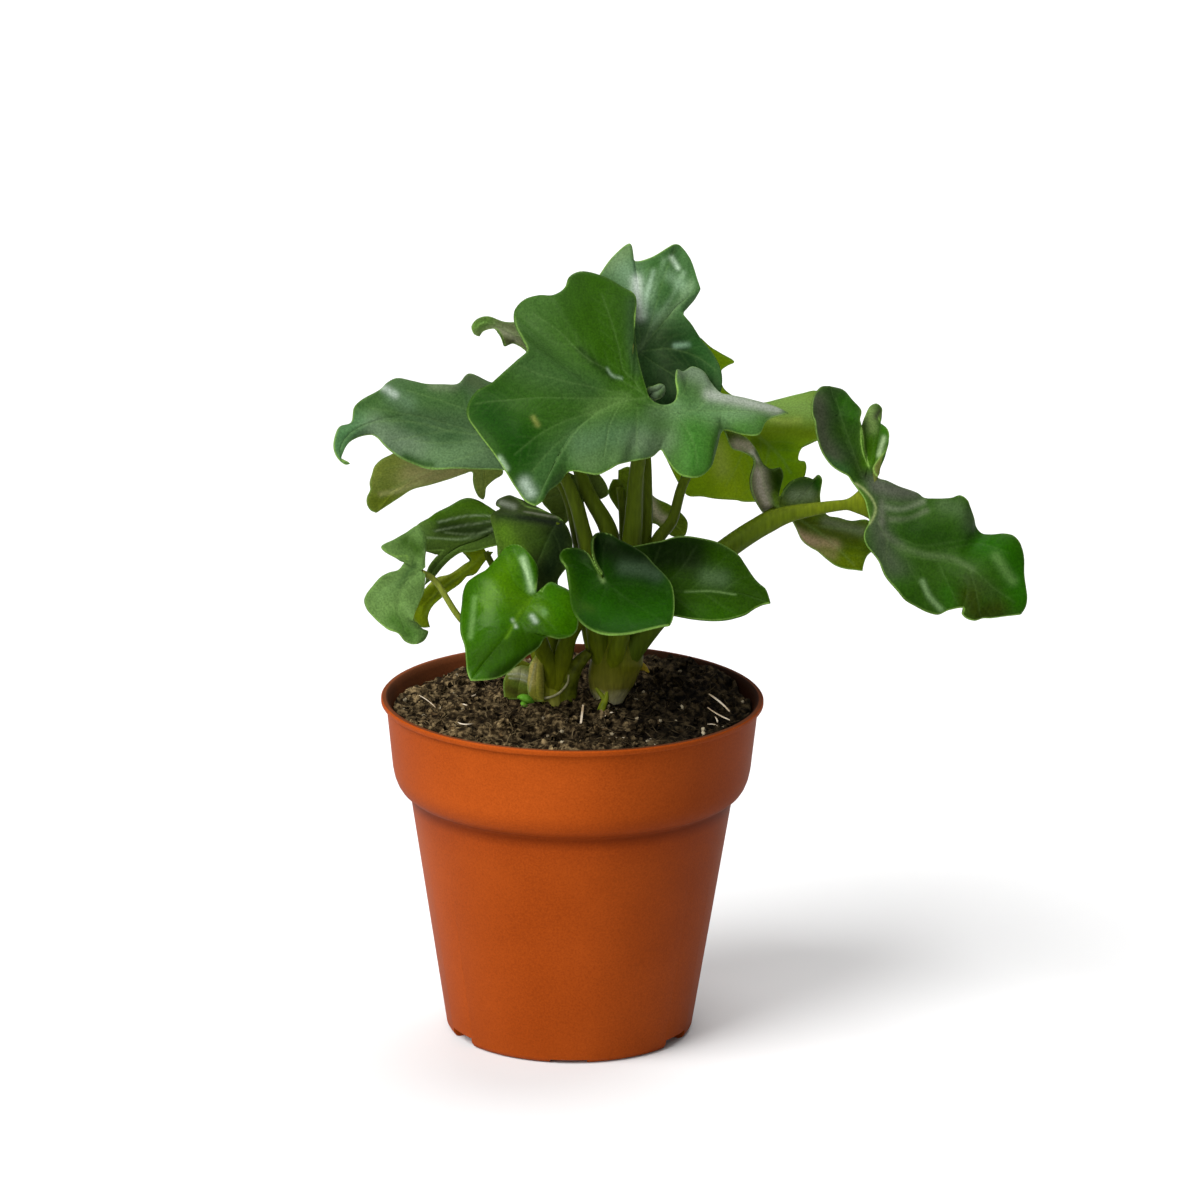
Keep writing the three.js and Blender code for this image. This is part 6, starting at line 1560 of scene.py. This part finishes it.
LEAF_BACK_DARK = dict(
    front=-14.5, lean=(0, -0.1), rise=0.06,
    bays=[
        dict(spine=[(0, 152.5)],
             a=[(-3, 154), (-6, 152.5)],
             b=[(3, 154.2), (6.5, 153)]),
        dict(spine=[(-0.5, 150), (-1.5, 146.5), (-2.4, 142.5)],
             a=[(-8.5, 149), (-9.2, 145.3), (-7, 142.5), (-5.6, 140.6)],
             b=[(9, 149.5), (9.3, 147.3), (6, 145.6), (3.2, 145.2), (1.2, 145.4), (0, 142)]),
    ],
    tip=(-3, 138.5),
    veins=[
        [(0, 152.5), (-1.5, 146.5), (-2.6, 141)],
        [(0, 151), (5, 149), (8, 148)],
        [(-1, 149), (-5, 147), (-8, 146)],
    ],
    upper=(0.072, 0.11, 0.014), under=(0.012, 0.024, 0.0029), rough=0.4,
    marks_and_painted_light=[
        ((0.028, 0.047, 0.0073), 0.7, 2, [(2, 148), (4, 144)]),
    ],
)

LEAVES = dict(
    main=LEAF_MAIN,
    back_top=LEAF_BACK_TOP,
    left_upper=LEAF_LEFT_UPPER,
    left_under=LEAF_LEFT_UNDER,
    back_left=LEAF_BACK_LEFT,
    back_right=LEAF_BACK_RIGHT,
    right_inner=LEAF_RIGHT_INNER,
    right=LEAF_RIGHT,
    front_left=LEAF_FRONT_LEFT,
    front_centre=LEAF_FRONT_CENTRE,
    front_right=LEAF_FRONT_RIGHT,
    middle=LEAF_MIDDLE,
    mid_left=LEAF_MID_LEFT,
    low_left=LEAF_LOW_LEFT,
    low_back=LEAF_LOW_BACK,
    back_low=LEAF_BACK_LOW,
    back_dark=LEAF_BACK_DARK,
)
leaf_nets = {}
for name, leaf in LEAVES.items():
    through = leaf.get("through", 0.12)
    veins, shine = leaf.get("vein_tint", 0.13), leaf.get("shine", 0.09)
    skins = (
        leaf_face(f"{name}_upper", leaf["upper"], leaf["rough"], through, veins, shine),
        leaf_face(f"{name}_underside", leaf["under"], 0.5, through, veins, 0.05),
    )
    blade, leaf_nets[name] = leaf_mesh(f"{name}_leaf", leaf, skins, LEAF_STEP)
    if name == "main":
        ear_skin = leaf_face("main_ear", (0.085, 0.13, 0.07), 0.45)
        ear, _ = leaf_mesh("ear", LEAF_MAIN_EAR, (ear_skin, ear_skin), 0.3)
        with bpy.context.temp_override(active_object=blade, selected_editable_objects=[blade, ear]):
            bpy.ops.object.join()
    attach(blade, "root")
    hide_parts(f"leaf_{name}")


# The stalks: one fleshy, faintly ribbed petiole under each blade, olive green and paler at its
# foot. Each grows out of a crown and ends in the hub that the blade's veins spread from.
STALK_SHADES = [
    (0.0, (0.17, 0.19, 0.005)), (0.1, (0.12, 0.145, 0.003)), (0.25, (0.075, 0.105, 0.002)),
    (0.5, (0.052, 0.078, 0.002)), (1.0, (0.055, 0.085, 0.002)),
]
# The right stalk is painted lighter toward its top: painted light on its upper, lit part.
RIGHT_STALK_SHADES = [
    (0.0, (0.05, 0.082, 0.002)), (0.5, (0.075, 0.11, 0.002)), (1.0, (0.12, 0.15, 0.003)),
]
THIN_STALK_SHADES = [(0.0, (0.13, 0.16, 0.008)), (1.0, (0.19, 0.23, 0.03))]
stalk_skin = flesh("stalk_skin", STALK_SHADES, 95, 160, 0.58, 0.05)
right_stalk_skin = flesh("right_stalk_skin", RIGHT_STALK_SHADES, 138, 152, 0.58, 0.05)
thin_stalk_skin = flesh("thin_stalk_skin", THIN_STALK_SHADES, 100, 128, 0.58, 0.05)
# The right leaf's stalk, by place along it and radius: it opens into a fan where it meets its blade.
RIGHT_STALK_RADII = [
    (0, 4.4), (0.12, 3.9), (0.4, 3.2), (0.69, 2.9), (0.77, 2.2), (0.855, 1.7), (0.932, 1.45),
    (0.956, 2.6), (0.977, 3.8), (1, 5.6),
]
RIGHT_STALK_END = [(69, 144.2, -6.4), (75.4, 145.1, -6.2), (78.2, 145.4, -6.2), (82, 146.1, -6.4)]


def meets_blade(route, radii, net):
    """The share of a stalk's length at which it comes up to its blade, or all of it."""
    line = stem_line(route)
    lengths = run_lengths(line)
    blade = net.reshape(-1, 3)
    for i in range(int(len(line) * 0.6), len(line)):
        if np.linalg.norm(blade - line[i], axis=1).min() < 0.45 + 0.12 * radii[-1]:
            return lengths[i] / lengths[-1]
    return 1.0


STALKS = dict(
    main=(
        [(12, 104, -4), (15.9, 133.5, -6), (16.8, 150, -4), (18.2, 163, 1), (18.6, 172.4, 10.6)],
        (2.4, 2.2, 1.9),
    ),
    back_top=(
        [(13, 104, -9), (19.5, 134, -11), (20.2, 150, -12), (18.8, 170, -14.5), (17, 186, -11.2)],
        (1.5, 1.25, 1.2),
    ),
    left_upper=(
        [(8, 103, -4), (3.5, 132.7, -4), (-2.5, 151.2, -3), (-9, 160, -1), (-19, 163, 2)],
        (2.1, 1.9, 1.5),
    ),
    left_under=(
        [(6, 104, -9), (1.5, 132, -9), (-4, 150, -8.6), (-12, 158, -7.4), (-25, 158, -8.2)],
        (1.5, 1.3, 1.1),
    ),
    back_left=(
        [(9, 103, -8), (9.9, 135.5, -8), (3.4, 148.2, -9), (-1, 162, -12), (-3, 183, -18.2)],
        (2.2, 2, 1.5),
    ),
    back_right=(
        [(14.5, 104, -7), (23, 134.5, -10), (27, 140, -11), (30, 150.3, -13), (41, 172, -26)],
        (1.6, 1.45, 1.3),
    ),
    right_inner=(
        [(15, 103, -9), (28, 119, -12), (42.5, 134.4, -13.5), (50, 139.8, -15.5), (57, 144, -19.6)],
        (1.5, 1.3, 1.2),
    ),
    right=(
        [
            (15, 103, -4), (28, 119, -6), (42.5, 132.5, -8), (57, 141.4, -8), (70, 146, -6.4),
            (81.5, 147.6, -5),
        ],
        (3.4, 2.8, 2.4, 2, 1.6, 4.6),
    ),
    front_left=(
        [(-5.5, 96, -3), (-8.5, 104, 0), (-10, 112, 6), (-10.9, 118.6, 15.4)],
        (1.8, 1.5, 1.4),
    ),
    front_centre=(
        [(-4, 96, -3), (-1.5, 107, 0), (3, 114, 6), (8, 123.2, 19.8)],
        (1.8, 1.6, 1.5),
    ),
    front_right=(
        [(12, 103, 0), (15, 112, 2), (18, 122, 9.8)],
        (1.8, 1.6, 1.4),
    ),
    middle=(
        [(-6, 97, -6), (-6, 115, -7), (-5.4, 130, -6), (-4.2, 140.3, -1.4)],
        (1.5, 1.3, 1.2),
    ),
    mid_left=(
        [(-7, 97, -7), (-11, 115, -11), (-16, 130, -12), (-19.3, 137.8, -7.2)],
        (1.5, 1.2, 1.1),
    ),
    low_left=(
        [(-8, 96, -2), (-18, 101, 2), (-31.4, 112.2, 2.6), (-39, 123.1, 3), (-43, 125.3, 5.6)],
        (1.1, 0.9, 0.85),
    ),
    low_back=(
        [(-8, 97, -9), (-14, 112, -14), (-21, 124, -12), (-24.7, 131, -13.4)],
        (1.2, 1, 0.9),
    ),
    back_low=(
        [(12, 104, -12), (13.5, 130, -16.5), (13, 145, -18.5), (12, 151.4, -21.2)],
        (1.4, 1.2, 1),
    ),
    back_dark=(
        [(8, 104, -12), (5, 130, -15.5), (1, 147, -17.5), (0, 152.6, -14.6)],
        (1.4, 1.2, 1),
    ),
)
for name, (route, radii) in STALKS.items():
    share = meets_blade(route, radii, leaf_nets[name])
    deep = 1
    foot = (-6, 92, -4.5) if route[0][0] < 0 else (11.5, 96, -6)
    route = [foot, *route]
    radii = (1.6 * radii[0], 1.5 * radii[0], 1.25 * radii[0], *radii[1:-1], radii[-1], radii[-1])
    skin = stalk_skin
    if name == "low_left":
        route = [foot, (-8, 96, -6), (-13, 98.6, -6), (-19, 101.5, -3.5), *route[3:]]
        skin = thin_stalk_skin
    if name == "low_back":
        share = 1.0
    if name == "right":
        skin = right_stalk_skin
        route = [*route[:-2], *RIGHT_STALK_END]
        radii = np.interp(np.linspace(0, 1, 80), *zip(*RIGHT_STALK_RADII))
        share = 1.0
        deep = 0.3
    shape = sweep(route, radii, sides=24, deep=deep, ridges=0.02, share=share)
    stem = mesh_object(f"{name}_stalk", *shape, [skin])
    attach(stem, "root")
    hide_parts(f"stalk_{name}")

# The small growth at the crowns' feet: a curved shoot, a forked green one, a bud, a dry scale and a
# bare root. All are mottled plant tissue, standing in the mix against the crowns.
# Each has its node, slot and two shades, and stems by route, radii and depth.
YOUNG_GROWTH = (
    ("curved_shoot", "shoot_curved", "stalk", (0.04, 0.05, 0.002), (0.09, 0.11, 0.006), [
        ([(-1.2, 88, -1), (-1, 94, -1.4), (1, 99.5, -1.6), (4.5, 103.5, -2)],
         (2.4, 2.4, 2.3, 2.1, 1.9, 1.3), 1),
    ]),
    ("forked_shoot", "shoot_front", "young_leaf", (0.08, 0.11, 0.004), (0.16, 0.19, 0.012), [
        ([(7.4, 85, 10.6), (8.2, 88, 10), (9.2, 90.5, 9), (9.6, 92.4, 8.2)],
         (1.1, 1.15, 1.1, 1, 0.8, 0.35), 1),
        ([(8.9, 90, 9.2), (8, 91.4, 8.6), (7, 92.6, 8), (6.4, 93.4, 7.6)], (0.7, 0.7, 0.6, 0.3), 1),
    ]),
    ("green_bud", "bud", "young_leaf", (0.07, 0.2, 0.006), (0.13, 0.34, 0.03), [
        ([(-15.4, 90.6, 2.8), (-14, 90.6, 3), (-12.4, 90, 3), (-10.8, 89.2, 2.8)], (0.3, 1, 1.2, 1, 0.3), 1),
        ([(-13.6, 87, 2.4), (-13.4, 89, 2.6), (-12.9, 90, 2.8)], (1.1, 1.2, 0.7), 1),
    ]),
    ("dry_scale", "scale", "sheath", (0.22, 0.16, 0.01), (0.4, 0.3, 0.03), [
        ([(16, 99.8, -6), (18, 99.9, -6), (20, 99, -6), (21.2, 97.8, -6)],
         (1.4, 1.5, 1.4, 1.1, 0.6, 0.2), 0.5),
    ]),
    ("bare_root", "root_bare", "sheath", (0.2, 0.19, 0.09), (0.34, 0.33, 0.18), [
        ([(-1.2, 97, 1.3), (-1.4, 95, 1.9), (-2.9, 92.7, 1.6), (-5.6, 90.9, 0.6), (-9.5, 90.2, 0.2)],
         (0.25, 0.34, 0.36, 0.36, 0.3), 1),
    ]),
)
for name, node, slot, dark, light, stems in YOUNG_GROWTH:
    shapes = [sweep(route, radii, step=0.35, deep=deep, lumps=0.1) for route, radii, deep in stems]
    growth = mesh_object(name, *joined(shapes), [mix_finish(f"{name}_skin", [dark, light], 2, 0.4, 3)])
    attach(growth, "root")
    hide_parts(node)

# The sheaths: two papery husks of earlier leaves that stand round the side crown. They are given as
# the leaves are, and one skin covers both faces.
SHEATH_TALL = dict(
    front=0.4, lean=(0.3, 0), rise=0.1,
    bays=[
        dict(spine=[(-9.8, 89.4), (-10.2, 96), (-9.8, 100)],
             a=[(-12, 89.4), (-13, 97), (-11.6, 100.5)],
             b=[(-8, 89.4), (-8, 96.5), (-8.6, 100.5)]),
    ],
    tip=(-9.8, 103.3),
    veins=[],
    marks_and_painted_light=[
        ((0.52, 0.44, 0.13), 0.9, 1.5, [(-11.2, 99.8), (-11.6, 95)]),
        ((0.09, 0.08, 0.012), 0.8, 0.9, [(-8.4, 99), (-8.4, 91)]),
        ((0.34, 0.36, 0.18), 0.8, 0.25, [(-10.4, 100), (-11.4, 96), (-12, 92.4)]),
    ],
)
SHEATH_WIDE = dict(
    front=-1.6, lean=(0.15, 0.1), rise=0.08,
    bays=[
        dict(spine=[(-15.4, 90), (-15.2, 93), (-14.6, 96)],
             a=[(-19, 90), (-19.2, 95.2), (-17.6, 98)],
             b=[(-12.4, 90), (-11.6, 95), (-11.8, 98.6)]),
    ],
    tip=(-14.2, 99.6),
    veins=[],
    marks_and_painted_light=[
        ((0.42, 0.43, 0.22), 0.85, 1.5, [(-15.8, 97.6), (-13, 96.4)]),
        ((0.4, 0.42, 0.3), 0.8, 0.22, [(-17.6, 96), (-14, 95.6), (-12, 94.6)]),
        ((0.4, 0.42, 0.3), 0.8, 0.22, [(-18, 97), (-14.4, 97.2), (-12, 96.4)]),
        ((0.05, 0.05, 0.008), 0.8, 1.2, [(-17.8, 93), (-15, 91.4)]),
        ((0.12, 0.18, 0.02), 0.7, 1, [(-16.4, 94.6), (-13.4, 93.6)]),
    ],
)
for name, node, husk, colour in (
    ("tall_sheath", "sheath_tall", SHEATH_TALL, (0.22, 0.22, 0.024)),
    ("wide_sheath", "sheath_wide", SHEATH_WIDE, (0.11, 0.14, 0.012)),
):
    paper = leaf_face(f"{name}_paper", colour, 0.6, 0.2)
    sheath, _ = leaf_mesh(name, husk, (paper, paper), 0.25)
    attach(sheath, "root")
    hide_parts(node)

# The floor: a pale sheet, lit by a broad soft light from the front left, a weaker one lower down and
# nearer the front, and one from high up behind.
FLOOR_REACH = 3
floor_mesh = bpy.data.meshes.new("floor")
floor_corners = [(x * FLOOR_REACH, y * FLOOR_REACH, 0) for x, y in ((-1, -1), (1, -1), (1, 1), (-1, 1))]
floor_mesh.from_pydata(floor_corners, [], [(0, 1, 2, 3)])
floor = bpy.data.objects.new("floor", floor_mesh)
bpy.context.scene.collection.objects.link(floor)
floor_finish, _, floor_shader, _ = node_tree("floor_sheet")
floor_shader.inputs["Base Color"].default_value = (0.68, 0.68, 0.68, 1)
floor_shader.inputs["Roughness"].default_value = 0.9
floor_shader.inputs["Specular IOR Level"].default_value = 0
floor_mesh.materials.append(floor_finish)

SKY_STRENGTH = 0.18
world = bpy.data.worlds.new("studio")
world.use_nodes = True
world.node_tree.nodes["Background"].inputs["Color"].default_value = (1, 1, 1, 1)
world.node_tree.nodes["Background"].inputs["Strength"].default_value = SKY_STRENGTH
bpy.context.scene.world = world
bpy.context.scene.view_settings.view_transform = "Standard"


def soft_sun(name, azimuth, elevation, strength, breadth):
    """A lamp far off, seen as a disc that many degrees broad. Azimuth 0 is the front, 90 the right."""
    lamp = bpy.data.lights.new(name, "SUN")
    lamp.energy = strength
    lamp.angle = math.radians(breadth)
    holder = bpy.data.objects.new(name, lamp)
    around, high = math.radians(azimuth), math.radians(elevation)
    level = math.cos(high)
    toward = Vector((math.sin(around) * level, -math.cos(around) * level, math.sin(high)))
    holder.rotation_euler = toward.to_track_quat("Z", "Y").to_euler()
    holder.location = toward
    bpy.context.scene.collection.objects.link(holder)


soft_sun("key", -52, 46, 3.8, 40)
soft_sun("front", -22, 26, 1.5, 60)
soft_sun("overhead", 160, 66, 2.0, 50)

CAMERA_AIM = Vector((7.3, 0, 122.4)) * MM
CAMERA_DISTANCE = 1.8
CAMERA_ROLL = math.radians(0.6)
camera = bpy.data.objects.new("camera", bpy.data.cameras.new("camera"))
camera.data.lens = 197.55
camera.data.sensor_width = 36
back = Vector((0, -math.cos(SIGHT_TILT), math.sin(SIGHT_TILT)))
right = Vector((1, 0, 0))
up = Vector((0, math.sin(SIGHT_TILT), math.cos(SIGHT_TILT)))
level_right = right * math.cos(CAMERA_ROLL) + up * math.sin(CAMERA_ROLL)
level_up = -right * math.sin(CAMERA_ROLL) + up * math.cos(CAMERA_ROLL)
camera.matrix_world = Matrix((level_right, level_up, back)).transposed().to_4x4()
camera.location = CAMERA_AIM + back * CAMERA_DISTANCE
bpy.context.scene.collection.objects.link(camera)
bpy.context.scene.camera = camera
